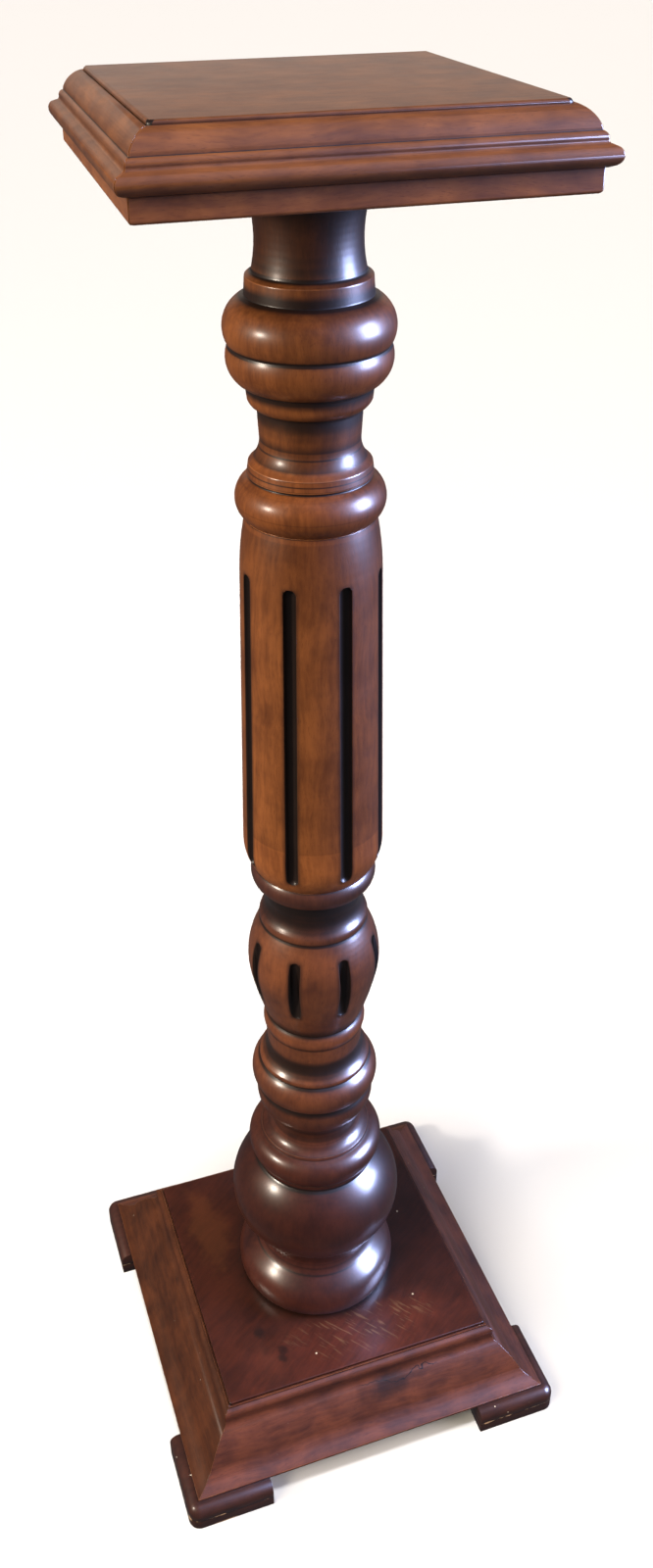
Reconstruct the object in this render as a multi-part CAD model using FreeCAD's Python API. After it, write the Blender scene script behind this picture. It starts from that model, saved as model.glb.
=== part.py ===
"""Pedestal column stand: a square top and a square stepped base on a turned, fluted column.

Millimetres, +Z up.  The origin lies on the floor under the column's axis.  The front faces -Y.
Every piece is one solid in its own STEP file, named after the piece.
"""
import FreeCAD
import Part
import math
import os

Vector = FreeCAD.Vector
UP = Vector(0, 0, 1)
ORIGIN = Vector(0, 0, 0)
SIDES = ("front", "right", "back", "left")
CORNERS = ("front_left", "front_right", "back_right", "back_left")
COS_45 = math.sqrt(0.5)
SAME = 1e-6                # two places this close (mm) are one place

# where an arc of an outline passes its named radius, as a share of the arc's rise
LOW = 0.3
MIDDLE = 0.5
HIGH = 0.6

# ---------------------------------------------------------------- overall sizes
STAND_HEIGHT = 1000.0      # the shaft's taper takes up what the other sections leave
STAND_WIDTH = 314.0        # over the feet
TOP_WIDTH = 236.2          # over the lips

# ---------------------------------------------------------------- joints and clearances
PANEL_GAP = 0.3            # round a panel or core board in its frame
MITRE_GAP = 0.2            # open width of a mitre joint
SPIGOT_GAP = 0.2           # round a turned spigot in its bore
SPIGOT_END_GAP = 2.0       # glue space beyond the end of a spigot
SCREW_GAP = 0.1            # round a screw or bolt in its hole

# ---------------------------------------------------------------- feet
FOOT_PAD_THICKNESS = 10.8
FOOT_UPPER_THICKNESS = 12.0
FOOT_PROJECTION = 9.0      # how far a foot stands out beyond the base moulding
FOOT_LEG_LENGTH = 67.2     # along each side, from the foot's outer corner
FOOT_LEG_WIDTH = 35.0
FOOT_CORNER_RADIUS = 9.0   # upright outer corner
FOOT_SHOULDER_RADIUS = 7.5  # quarter round along the upper piece's outer edge
FOOT_PAD_EDGE_RADIUS = 1.2

# ---------------------------------------------------------------- base
BASE_PANEL_THICKNESS = 18.0
BASE_PANEL_EDGE_RADIUS = 0.8
BASE_LEDGE_WIDTH = 6.0     # rebate that carries the base panel
BASE_CORE_THICKNESS = 18.0
BASE_BLOCK_LEG = 45.0      # short sides of the triangular glue blocks
BASE_BLOCK_HEIGHT = 14.0

# section of the base moulding, from the panel's edge outwards and from its face downwards
BASE_FILLET_DROP = 1.8
BASE_FILLET_WIDTH = 1.8
BASE_BEAD_STEP = 1.7
BASE_BEAD_WIDTH = 4.4
BASE_BEAD_HEIGHT = 5.4
BASE_BEAD_UNDERCUT = 0.3
BASE_COVE_FACE = 2.4       # short upright face between the bead and the cove
BASE_COVE_WIDTH = 4.5
BASE_COVE_HEIGHT = 9.1
BASE_SLOPE_WIDTH = 14.2
BASE_SLOPE_HEIGHT = 20.6
BASE_SLOPE_CROWN = 1.1
BASE_FLARE_WIDTH = 13.8
BASE_FLARE_HEIGHT = 9.4
BASE_FLARE_HOLLOW = 1.5
BASE_LIP_HEIGHT = 2.0

# ---------------------------------------------------------------- column, turned outline
BUN_SEAT_RADIUS = 61.5
BUN_FLANK_RADIUS = 64.6
BUN_RADIUS = 65.5
BUN_LOWER_HEIGHT = 13.0
BUN_SHOULDER_RADIUS = 59.0
BUN_SHOULDER_HEIGHT = 15.5
BUN_TOP_RADIUS = 51.5
BUN_TOP_HEIGHT = 6.5
FOOT_NECK_RADIUS = 44.5
FOOT_NECK_HEIGHT = 29.0
BALL_SEAT_RADIUS = 52.0
BALL_FLANK_RADIUS = 64.7
BALL_RADIUS = 68.2
BALL_LOWER_HEIGHT = 34.8
BALL_TOP_RADIUS = 47.5
BALL_UPPER_HEIGHT = 40.5
RING_SEAT_HEIGHT = 5.0     # upright crease between the ball and the ring

RING_FLANK_RADIUS = 51.6
RING_LOWER_HEIGHT = 13.0
RING_RADIUS = 52.8
RING_SHOULDER_RADIUS = 50.6
RING_SHOULDER_HEIGHT = 7.0
RING_SLOPE_RADIUS = 43.4
RING_SLOPE_HEIGHT = 5.2
RING_ARRIS_RADIUS = 42.4
RING_ARRIS_RISE = 2.2
LOWER_COVE_FOOT_RADIUS = 36.5
LOWER_COVE_RADIUS = 34.0
LOWER_COVE_HEIGHT = 15.1
LOWER_COVE_FLARE_HEIGHT = 14.5
LOWER_COVE_TOP_RADIUS = 41.5
DRUM_BEAD_RADIUS = 44.8
DRUM_BEAD_HEIGHT = 19.7
DRUM_QUIRK_RADIUS = 42.8
DRUM_QUIRK_HEIGHT = 3.0
DRUM_ARRIS_RADIUS = 45.8
DRUM_ARRIS_RISE = 1.5
DRUM_RADIUS = 48.0
DRUM_HEIGHT = 22.3
DRUM_CREASE_RADIUS = 41.4
LOWER_LIP_RADIUS = 42.0
LOWER_LIP_TOP_RADIUS = 41.0
LOWER_LIP_HEIGHT = 4.5
LOWER_FLARE_RADIUS = 37.0    # at the share LOW of the flare from the lip to the waist
LOWER_FLARE_HEIGHT = 17.0
WAIST_RADIUS = 35.8
WAIST_HEIGHT = 13.4
WAIST_TOP_RADIUS = 36.6
SMALL_RING_RADIUS = 38.0
SMALL_RING_HEIGHT = 12.5
BULB_CREASE_RADIUS = 35.2
BULB_FLANK_RADIUS = 41.8
BULB_FLANK_HEIGHT = 41.5
BULB_RADIUS = 46.6         # where the flank turns into the shoulder
BULB_SHOULDER_HEIGHT = 48.8
BULB_TOP_RADIUS = 38.0
UPPER_LIP_RADIUS = 38.8
UPPER_LIP_TOP_RADIUS = 37.8
UPPER_LIP_HEIGHT = 6.5
UPPER_FLARE_RADIUS = 34.9    # at the share LOW of the flare from the lip to the cove
UPPER_FLARE_HEIGHT = 15.0
UPPER_COVE_RADIUS = 34.0
UPPER_COVE_HEIGHT = 9.0
UPPER_COVE_TOP_RADIUS = 34.4
CUSHION_QUIRK_RADIUS = 35.4
CUSHION_QUIRK_RISE = 1.0
CUSHION_RADIUS = 43.6
CUSHION_HEIGHT = 18.0
CUSHION_TOP_RADIUS = 41.2

SHAFT_SHOULDER_RADIUS = 46.7
SHAFT_SHOULDER_HEIGHT = 24.0
SHAFT_FOOT_RADIUS = 47.9
SHAFT_HEAD_RADIUS = 43.6
SHAFT_CAP_HEIGHT = 35.5
SHAFT_TOP_RADIUS = 39.5

TORUS_RADIUS = 44.9
TORUS_HEIGHT = 25.0
TORUS_TOP_RADIUS = 36.4
COLLAR_STRIP_FOOT_RADIUS = 37.3
COLLAR_STRIP_RISE = 1.5
COLLAR_STRIP_RADIUS = 36.4
COLLAR_STRIP_HEIGHT = 6.5
NECK_FLARE_RADIUS = 32.2
NECK_FLARE_HEIGHT = 15.0
NECK_RADIUS = 29.5
NECK_UPPER_RADIUS = 30.4
NECK_UPPER_HEIGHT = 17.5
STEP_ROUND_RADIUS = 34.2
STEP_RADIUS = 35.8
STEP_ROUND_HEIGHT = 5.0
STEP_BAND_RADIUS = 36.8
STEP_BAND_HEIGHT = 8.0
UNDER_BULB_RADIUS = 46.7
UNDER_BULB_HEIGHT = 23.0
BULB_GROOVE_RADIUS = 45.7
MAIN_BULB_RADIUS = 48.0
MAIN_BULB_HEIGHT = 26.5
MAIN_BULB_TOP_RADIUS = 35.9
BAND_RADIUS = 35.2
BAND_HEIGHT = 10.0
BAND_TOP_RADIUS = 31.6
BAND_TOP_RISE = 2.5
THROAT_RADIUS = 29.6
THROAT_HEIGHT = 29.5
THROAT_TOP_RADIUS = 30.6
FLARE_HEIGHT = 22.0
COLLAR_RADIUS = 42.0

SPIGOT_RADIUS = 15.0
SPIGOT_LENGTH = 32.0

# ---------------------------------------------------------------- flutes
FLUTE_COUNT = 8
FLUTE_PHASE = 9.0          # degrees from the front, towards the right, to the first flute
FLUTE_CUTTER_RADIUS = 4.2
SHAFT_FLUTE_STANDOFF = 0.3  # cutter's axis outside the shaft's surface
SHAFT_FLUTE_FOOT_MARGIN = 9.5
SHAFT_FLUTE_HEAD_MARGIN = 31.0
BULB_FLUTE_STANDOFF = -0.4  # the same on the bulb, where the axis lies just inside
BULB_FLUTE_FOOT_MARGIN = 23.5
BULB_FLUTE_HEAD_MARGIN = 11.5

# ---------------------------------------------------------------- top
TOP_TURN = -3.2            # degrees that the screwed-on top stands out of square with the base
TOP_PANEL_THICKNESS = 16.0
TOP_PANEL_EDGE_RADIUS = 1.6
TOP_LEDGE_WIDTH = 5.2      # rebate that carries the top panel
APRON_HEIGHT = 11.8
APRON_SETBACK = 6.1        # from the lip's outermost line to the apron's face
APRON_EDGE_RADIUS = 1.8
CORE_RECESS = 3.8          # core's underside above the apron's lower edge

# section of the top moulding, from the panel's edge outwards and from its face downwards
TOP_QUIRK_DROP = 2.0
TOP_QUIRK_WIDTH = 1.3
TOP_OVOLO_WIDTH = 9.3
TOP_OVOLO_HEIGHT = 9.4
TOP_OVOLO_CROWN = 1.5
TOP_BEAD_QUIRK = 1.1
TOP_BEAD_WIDTH = 2.5
TOP_BEAD_HEIGHT = 3.6
TOP_COVE_WIDTH = 1.7
TOP_COVE_HEIGHT = 1.9
TOP_LIP_SLOPE_WIDTH = 2.4
TOP_LIP_SLOPE_HEIGHT = 1.0
TOP_NOSE_WIDTH = 1.7
TOP_NOSE_HEIGHT = 7.8
TOP_NOSE_RETURN = 2.0
TOP_LIP_UNDERSIDE_WIDTH = 2.8
TOP_LIP_UNDERSIDE_HEIGHT = 1.2

# ---------------------------------------------------------------- fixings
BOLT_RADIUS = 5.0
BOLT_GRIP = 42.0           # length held in the column's foot
BOLT_TAIL = 3.0            # length that shows beyond the nut
WASHER_RADIUS = 15.0
WASHER_THICKNESS = 2.5
NUT_ACROSS_FLATS = 17.0
NUT_SIDES = 6
NUT_HEIGHT = 8.0
SCREW_SHANK_RADIUS = 2.0
SCREW_HEAD_RADIUS = 4.0
SCREW_HEAD_HEIGHT = 2.6
SCREW_TIP_LENGTH = 5.0
SCREW_SLOT_WIDTH = 1.0
SCREW_SLOT_DEPTH = 1.0
SCREW_HEAD_SINK = 0.8      # head below the surface that it is driven into
FOOT_SCREW_LENGTH = 35.0
FOOT_SCREW_INSET = 27.5    # from the foot's outer faces
FOOT_SCREW_END_INSET = 13.0  # from the end of a leg
TOP_SCREW_LENGTH = 40.0
TOP_SCREW_RADIUS = 27.0    # of the ring of screws round the column's axis
TOP_SCREW_COUNT = 4

# ================================================================ heights that follow
FOOT_HEIGHT = FOOT_PAD_THICKNESS + FOOT_UPPER_THICKNESS
BASE_MOULDING_DROPS = (BASE_BEAD_STEP, BASE_BEAD_HEIGHT, BASE_COVE_FACE, BASE_COVE_HEIGHT,
                       BASE_SLOPE_HEIGHT, BASE_FLARE_HEIGHT, BASE_LIP_HEIGHT)
BASE_TOP = FOOT_HEIGHT + BASE_FILLET_DROP + sum(BASE_MOULDING_DROPS)
BASE_MOULDING_WIDTHS = (BASE_FILLET_WIDTH, BASE_BEAD_WIDTH, BASE_COVE_WIDTH,
                        BASE_SLOPE_WIDTH, BASE_FLARE_WIDTH)
FOOT_HALF = STAND_WIDTH / 2
BASE_HALF = FOOT_HALF - FOOT_PROJECTION
BASE_PANEL_HALF = BASE_HALF - sum(BASE_MOULDING_WIDTHS) + BASE_BEAD_UNDERCUT
BASE_LEDGE_Z = BASE_TOP - BASE_PANEL_THICKNESS
BASE_CORE_Z = BASE_LEDGE_Z - BASE_CORE_THICKNESS
BASE_FRAME_INNER = BASE_PANEL_HALF + PANEL_GAP - BASE_LEDGE_WIDTH

TOP_MOULDING_DROPS = (TOP_QUIRK_DROP, TOP_OVOLO_HEIGHT, TOP_BEAD_QUIRK, TOP_BEAD_HEIGHT,
                      TOP_COVE_HEIGHT, TOP_LIP_SLOPE_HEIGHT, TOP_NOSE_HEIGHT,
                      TOP_LIP_UNDERSIDE_HEIGHT)
TOP_MOULDING_WIDTHS = (TOP_QUIRK_WIDTH, TOP_OVOLO_WIDTH, TOP_BEAD_WIDTH, TOP_COVE_WIDTH,
                       TOP_LIP_SLOPE_WIDTH, TOP_NOSE_WIDTH)
TOP_MOULDING_Z = STAND_HEIGHT - sum(TOP_MOULDING_DROPS)
APRON_Z = TOP_MOULDING_Z - APRON_HEIGHT
CORE_Z = APRON_Z + CORE_RECESS
TOP_LEDGE_Z = STAND_HEIGHT - TOP_PANEL_THICKNESS
TOP_HALF = TOP_WIDTH / 2
TOP_PANEL_HALF = TOP_HALF - sum(TOP_MOULDING_WIDTHS)
TOP_FRAME_INNER = TOP_PANEL_HALF + PANEL_GAP - TOP_LEDGE_WIDTH
APRON_HALF = TOP_HALF - APRON_SETBACK

FOOT_SECTION_HEIGHTS = (BUN_LOWER_HEIGHT, BUN_SHOULDER_HEIGHT, BUN_TOP_HEIGHT, FOOT_NECK_HEIGHT,
                        BALL_LOWER_HEIGHT, BALL_UPPER_HEIGHT, RING_SEAT_HEIGHT)
BELOW_BULB_HEIGHTS = (RING_LOWER_HEIGHT, RING_SHOULDER_HEIGHT, RING_SLOPE_HEIGHT,
                      RING_ARRIS_RISE, LOWER_COVE_HEIGHT, LOWER_COVE_FLARE_HEIGHT,
                      DRUM_BEAD_HEIGHT, DRUM_QUIRK_HEIGHT, DRUM_ARRIS_RISE, DRUM_HEIGHT,
                      LOWER_LIP_HEIGHT, LOWER_FLARE_HEIGHT, WAIST_HEIGHT,
                      SMALL_RING_HEIGHT)
ABOVE_BULB_HEIGHTS = (UPPER_LIP_HEIGHT, UPPER_FLARE_HEIGHT, UPPER_COVE_HEIGHT,
                      CUSHION_QUIRK_RISE, CUSHION_HEIGHT)
CAPITAL_SECTION_HEIGHTS = (TORUS_HEIGHT, COLLAR_STRIP_RISE, COLLAR_STRIP_HEIGHT, NECK_FLARE_HEIGHT,
                           NECK_UPPER_HEIGHT, STEP_ROUND_HEIGHT, STEP_BAND_HEIGHT,
                           UNDER_BULB_HEIGHT, MAIN_BULB_HEIGHT, BAND_HEIGHT, BAND_TOP_RISE,
                           THROAT_HEIGHT, FLARE_HEIGHT)
VASE_Z = BASE_TOP + sum(FOOT_SECTION_HEIGHTS)
BULB_Z = VASE_Z + sum(BELOW_BULB_HEIGHTS)
BULB_TOP_Z = BULB_Z + BULB_FLANK_HEIGHT + BULB_SHOULDER_HEIGHT
SHAFT_Z = BULB_TOP_Z + sum(ABOVE_BULB_HEIGHTS)
CAPITAL_Z = APRON_Z - sum(CAPITAL_SECTION_HEIGHTS)
SHAFT_TAPER_HEIGHT = CAPITAL_Z - SHAFT_Z - SHAFT_SHOULDER_HEIGHT - SHAFT_CAP_HEIGHT


# ================================================================ outlines and solids
class Outline:
    """A chain of lines and arcs in the plane of reach (r, out from the axis) and height (z)."""

    def __init__(self, r, z):
        self.edges = []
        self.start = self.at = (r, z)

    def point(self, r, z):
        return Vector(r, 0, z)

    def line(self, r, z):
        """A straight stretch to (r, z)."""
        self.edges.append(Part.LineSegment(self.point(*self.at), self.point(r, z)).toShape())
        self.at = (r, z)
        return self

    def curve(self, mid_r, mid_z, r, z):
        """An arc through (mid_r, mid_z) to (r, z)."""
        arc = Part.Arc(self.point(*self.at), self.point(mid_r, mid_z), self.point(r, z))
        self.edges.append(arc.toShape())
        self.at = (r, z)
        return self

    def swell(self, mid_r, r, rise, share=MIDDLE):
        """An arc that rises by `rise` to radius r and passes mid_r at a share of that rise."""
        z = self.at[1]
        return self.curve(mid_r, z + share * rise, r, z + rise)

    def bow(self, crown, r, z):
        """An arc to (r, z) whose middle stands `crown` to the left of its chord."""
        r0, z0 = self.at
        length = math.hypot(r - r0, z - z0)
        out_r, out_z = -(z - z0) / length, (r - r0) / length
        return self.curve((r0 + r) / 2 + out_r * crown, (z0 + z) / 2 + out_z * crown, r, z)

    def flow(self, r, rise):
        """An arc that rises by `rise` to radius r and leaves the last stretch without a corner."""
        last = self.edges[-1]
        heading = last.tangentAt(last.LastParameter)
        chord = self.point(r - self.at[0], rise)
        turn = math.atan2(chord.z, chord.x) - math.atan2(heading.z, heading.x)
        return self.bow(-math.tan(turn / 2) * chord.Length / 2, r, self.at[1] + rise)

    def hollow(self, r, z):
        """A quarter-round cove from an upright start down and out to (r, z)."""
        r0, z0 = self.at
        return self.curve(r0 + (r - r0) * (1 - COS_45), z0 + (z - z0) * COS_45, r, z)

    def bead(self, r, z):
        """A quarter round from a level start out and down to (r, z)."""
        r0, z0 = self.at
        return self.curve(r0 + (r - r0) * COS_45, z0 + (z - z0) * (1 - COS_45), r, z)

    def rise(self, r, dz):
        """A straight stretch that rises by dz to radius r."""
        return self.line(r, self.at[1] + dz)

    def face(self):
        self.line(*self.start)
        return Part.Face(Part.Wire(self.edges))


def cylinder(radius, z_low, z_high, x=0.0, y=0.0):
    return Part.makeCylinder(radius, z_high - z_low, Vector(x, y, z_low), UP)


def turned(outline):
    """The solid that an outline makes when it is turned about the column's axis."""
    return outline.face().revolve(ORIGIN, UP, 360)


def board(half, z_low, z_high, edge_radius=0.0):
    """A square board about the axis, with its upper edges rounded."""
    solid = Part.makeBox(2 * half, 2 * half, z_high - z_low, Vector(-half, -half, z_low))
    if edge_radius > 0:
        upper = [e for e in solid.Edges if all(abs(v.Z - z_high) < SAME for v in e.Vertexes)]
        solid = solid.makeFillet(edge_radius, upper)
    return solid


def turned_by(shape, degrees):
    """A copy of a shape, turned about the column's axis."""
    copy = shape.copy()
    copy.rotate(ORIGIN, UP, degrees)
    return copy


def mitred_rail(outline, reach, z_low, z_high):
    """The front rail of a square frame: an outline run along X and cut at both mitres."""
    section = outline.face()
    section.rotate(ORIGIN, UP, -90)
    section.translate(Vector(-reach, 0, 0))
    rail = section.extrude(Vector(2 * reach, 0, 0))
    start = -MITRE_GAP * COS_45
    plan = [Vector(0, start, z_low), Vector(-reach, start - reach, z_low),
            Vector(reach, start - reach, z_low)]
    wedge = Part.Face(Part.makePolygon(plan + plan[:1])).extrude(Vector(0, 0, z_high - z_low))
    return rail.common(wedge)


def four_rails(name, rail, extra_turn=0.0):
    """The four rails of a frame by side, from its front rail."""
    return {name + "_" + side: turned_by(rail, 90 * k + extra_turn) for k, side in enumerate(SIDES)}


def ring_of(count, radius, phase=0.0):
    """(x, y) of points evenly spaced round the axis, the first one at `phase` from the front."""
    angles = [math.radians(phase + 360.0 * k / count) for k in range(count)]
    return [(radius * math.sin(a), -radius * math.cos(a)) for a in angles]


# ---------------------------------------------------------------- fixings
def wood_screw(length, x, y, z_head, direction):
    """A slotted countersunk screw, its head's flat end at z_head, pointing along +Z or -Z."""
    outline = Outline(0, 0).line(SCREW_HEAD_RADIUS, 0)
    outline.line(SCREW_SHANK_RADIUS, SCREW_HEAD_HEIGHT)
    outline.line(SCREW_SHANK_RADIUS, length - SCREW_TIP_LENGTH).line(0, length)
    slot = Part.makeBox(2 * SCREW_HEAD_RADIUS, SCREW_SLOT_WIDTH, SCREW_SLOT_DEPTH,
                        Vector(-SCREW_HEAD_RADIUS, -SCREW_SLOT_WIDTH / 2, 0))
    return placed_along(turned(outline).cut(slot), x, y, z_head, direction)


def screw_hole(length, x, y, z_face, direction):
    """The countersunk hole of a wood screw that is driven in from the face at z_face."""
    mouth = SCREW_HEAD_RADIUS + SCREW_GAP
    bore = SCREW_SHANK_RADIUS + SCREW_GAP
    seat = SCREW_HEAD_SINK
    outline = Outline(0, 0).line(mouth, 0).line(mouth, seat)
    outline.line(bore, seat + SCREW_HEAD_HEIGHT).line(bore, seat + length - SCREW_TIP_LENGTH)
    outline.line(0, seat + length + SCREW_GAP)
    return placed_along(turned(outline), x, y, z_face, direction)


def placed_along(shape, x, y, z, direction):
    """A shape made along +Z from the origin, moved to (x, y, z) and pointed up or down."""
    if direction < 0:
        shape.rotate(ORIGIN, Vector(1, 0, 0), 180)
    shape.translate(Vector(x, y, z))
    return shape


def foot_screw_places():
    """(x, y) of the two screws of each foot, one near the end of each leg."""
    near = FOOT_HALF - FOOT_SCREW_INSET
    far = FOOT_HALF - FOOT_LEG_LENGTH + FOOT_SCREW_END_INSET
    front_left = [(-far, -near), (-near, -far)]
    quarter_turns = [(1, 0), (0, 1), (-1, 0), (0, -1)]
    return [(c * x - s * y, s * x + c * y) for c, s in quarter_turns for x, y in front_left]


def top_screw_places():
    return ring_of(TOP_SCREW_COUNT, TOP_SCREW_RADIUS, 180.0 / TOP_SCREW_COUNT + TOP_TURN)


def foot_screw_holes():
    return [screw_hole(FOOT_SCREW_LENGTH, x, y, 0, 1) for x, y in foot_screw_places()]


def top_screw_holes():
    return [screw_hole(TOP_SCREW_LENGTH, x, y, TOP_LEDGE_Z, -1) for x, y in top_screw_places()]


def fixings():
    foot_screws = [wood_screw(FOOT_SCREW_LENGTH, x, y, SCREW_HEAD_SINK, 1)
                   for x, y in foot_screw_places()]
    top_screws = [wood_screw(TOP_SCREW_LENGTH, x, y, TOP_LEDGE_Z - SCREW_HEAD_SINK, -1)
                  for x, y in top_screw_places()]
    washer_z = BASE_CORE_Z - WASHER_THICKNESS
    nut_z = washer_z - NUT_HEIGHT
    bolt_hole = BOLT_RADIUS + SCREW_GAP
    washer = cylinder(WASHER_RADIUS, washer_z, BASE_CORE_Z)
    nut_radius = NUT_ACROSS_FLATS / 2 / math.cos(math.pi / NUT_SIDES)
    hexagon = [Vector(x, y, nut_z) for x, y in ring_of(NUT_SIDES, nut_radius)]
    nut = Part.Face(Part.makePolygon(hexagon + hexagon[:1])).extrude(Vector(0, 0, NUT_HEIGHT))
    nut = nut.cut(cylinder(bolt_hole, nut_z, washer_z))
    return {
        "foot_screws": Part.makeCompound(foot_screws),
        "top_screws": Part.makeCompound(top_screws),
        "base_bolt": cylinder(BOLT_RADIUS, nut_z - BOLT_TAIL, BASE_TOP + BOLT_GRIP),
        "base_washer": washer.cut(cylinder(bolt_hole, washer_z, BASE_CORE_Z)),
        "base_nut": nut,
    }


# ---------------------------------------------------------------- feet
def foot_plan(z_low, thickness):
    """The L-shaped front left foot in plan, with a rounded outer corner, run up to its height."""
    outer, inner = -FOOT_HALF, -FOOT_HALF + FOOT_LEG_WIDTH
    end = -FOOT_HALF + FOOT_LEG_LENGTH
    corners = [(outer, outer), (end, outer), (end, inner), (inner, inner), (inner, end),
               (outer, end)]
    plan = [Vector(x, y, z_low) for x, y in corners]
    solid = Part.Face(Part.makePolygon(plan + plan[:1])).extrude(Vector(0, 0, thickness))
    upright = [e for e in solid.Edges
               if all(abs(v.X - outer) < SAME and abs(v.Y - outer) < SAME for v in e.Vertexes)]
    return solid.makeFillet(FOOT_CORNER_RADIUS, upright)


def outer_edges(solid, z):
    """The edges at height z that run along a foot's two outer faces and round its corner."""
    def outside(v):
        return abs(v.Z - z) < SAME and min(abs(v.X + FOOT_HALF), abs(v.Y + FOOT_HALF)) < SAME

    return [edge for edge in solid.Edges if all(outside(v) for v in edge.Vertexes)]


def feet():
    upper = foot_plan(FOOT_PAD_THICKNESS, FOOT_UPPER_THICKNESS)
    upper = upper.makeFillet(FOOT_SHOULDER_RADIUS, outer_edges(upper, FOOT_HEIGHT))
    pad = foot_plan(0, FOOT_PAD_THICKNESS)
    pad_edges = outer_edges(pad, 0) + outer_edges(pad, FOOT_PAD_THICKNESS)
    pad = pad.makeFillet(FOOT_PAD_EDGE_RADIUS, pad_edges)
    holes = foot_screw_holes()
    pieces = {}
    for k, corner in enumerate(CORNERS):
        pieces["foot_upper_" + corner] = turned_by(upper, 90 * k).cut(holes)
        pieces["foot_pad_" + corner] = turned_by(pad, 90 * k).cut(holes)
    return pieces


# ---------------------------------------------------------------- base
def base_moulding_outline():
    """Fillet, bead, cove, crowned slope and hollow flare, from the panel's edge down and out."""
    panel_edge = BASE_PANEL_HALF + PANEL_GAP
    r, z = BASE_PANEL_HALF + BASE_FILLET_WIDTH, BASE_TOP - BASE_FILLET_DROP
    outline = Outline(panel_edge, BASE_LEDGE_Z).line(panel_edge, z).line(r, z)
    z -= BASE_BEAD_STEP
    outline.line(r, z)
    r, z = r + BASE_BEAD_WIDTH, z - BASE_BEAD_HEIGHT
    outline.bead(r, z)
    r, z = r - BASE_BEAD_UNDERCUT, z - BASE_COVE_FACE
    outline.line(r, z)
    r, z = r + BASE_COVE_WIDTH, z - BASE_COVE_HEIGHT
    outline.hollow(r, z)
    r, z = r + BASE_SLOPE_WIDTH, z - BASE_SLOPE_HEIGHT
    outline.bow(BASE_SLOPE_CROWN, r, z)
    outline.bow(-BASE_FLARE_HOLLOW, r + BASE_FLARE_WIDTH, z - BASE_FLARE_HEIGHT)
    outline.line(BASE_HALF, FOOT_HEIGHT).line(BASE_FRAME_INNER, FOOT_HEIGHT)
    return outline.line(BASE_FRAME_INNER, BASE_LEDGE_Z)


def base():
    rail = mitred_rail(base_moulding_outline(), BASE_HALF, FOOT_HEIGHT, BASE_TOP)
    holes = foot_screw_holes()
    pieces = {name: shape.cut(holes) for name, shape in four_rails("base_moulding", rail).items()}
    bolt_hole = cylinder(BOLT_RADIUS + SCREW_GAP, 0, BASE_TOP)
    panel = board(BASE_PANEL_HALF, BASE_LEDGE_Z, BASE_TOP, BASE_PANEL_EDGE_RADIUS)
    core_half = BASE_FRAME_INNER - PANEL_GAP
    pieces["base_panel"] = panel.cut(bolt_hole)
    pieces["base_core"] = board(core_half, BASE_CORE_Z, BASE_LEDGE_Z).cut(bolt_hole)
    z_low, tip = BASE_CORE_Z - BASE_BLOCK_HEIGHT, core_half - BASE_BLOCK_LEG
    plan = [Vector(-core_half, -core_half, z_low), Vector(-tip, -core_half, z_low),
            Vector(-core_half, -tip, z_low)]
    block = Part.Face(Part.makePolygon(plan + plan[:1])).extrude(Vector(0, 0, BASE_BLOCK_HEIGHT))
    for k, corner in enumerate(CORNERS):
        pieces["base_block_" + corner] = turned_by(block, 90 * k)
    return pieces


# ---------------------------------------------------------------- column
def spigot(z_seat):
    return cylinder(SPIGOT_RADIUS, z_seat, z_seat + SPIGOT_LENGTH)


def spigot_bore(z_seat):
    return cylinder(SPIGOT_RADIUS + SPIGOT_GAP, z_seat, z_seat + SPIGOT_LENGTH + SPIGOT_END_GAP)


def foot_section():
    """The bun foot, its neck and the ball, with the bolt's hole below and a spigot on top."""
    outline = Outline(0, BASE_TOP).line(BUN_SEAT_RADIUS, BASE_TOP)
    outline.swell(BUN_FLANK_RADIUS, BUN_RADIUS, BUN_LOWER_HEIGHT)
    outline.flow(BUN_SHOULDER_RADIUS, BUN_SHOULDER_HEIGHT)
    outline.flow(BUN_TOP_RADIUS, BUN_TOP_HEIGHT)
    outline.swell(FOOT_NECK_RADIUS, BALL_SEAT_RADIUS, FOOT_NECK_HEIGHT)
    outline.swell(BALL_FLANK_RADIUS, BALL_RADIUS, BALL_LOWER_HEIGHT)
    outline.flow(BALL_TOP_RADIUS, BALL_UPPER_HEIGHT)
    outline.rise(BALL_TOP_RADIUS, RING_SEAT_HEIGHT)
    outline.line(0, VASE_Z)
    bolt_hole = cylinder(BOLT_RADIUS + SCREW_GAP, BASE_TOP, BASE_TOP + BOLT_GRIP + SPIGOT_END_GAP)
    return turned(outline).cut(bolt_hole).fuse(spigot(VASE_Z)).removeSplitter()


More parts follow.
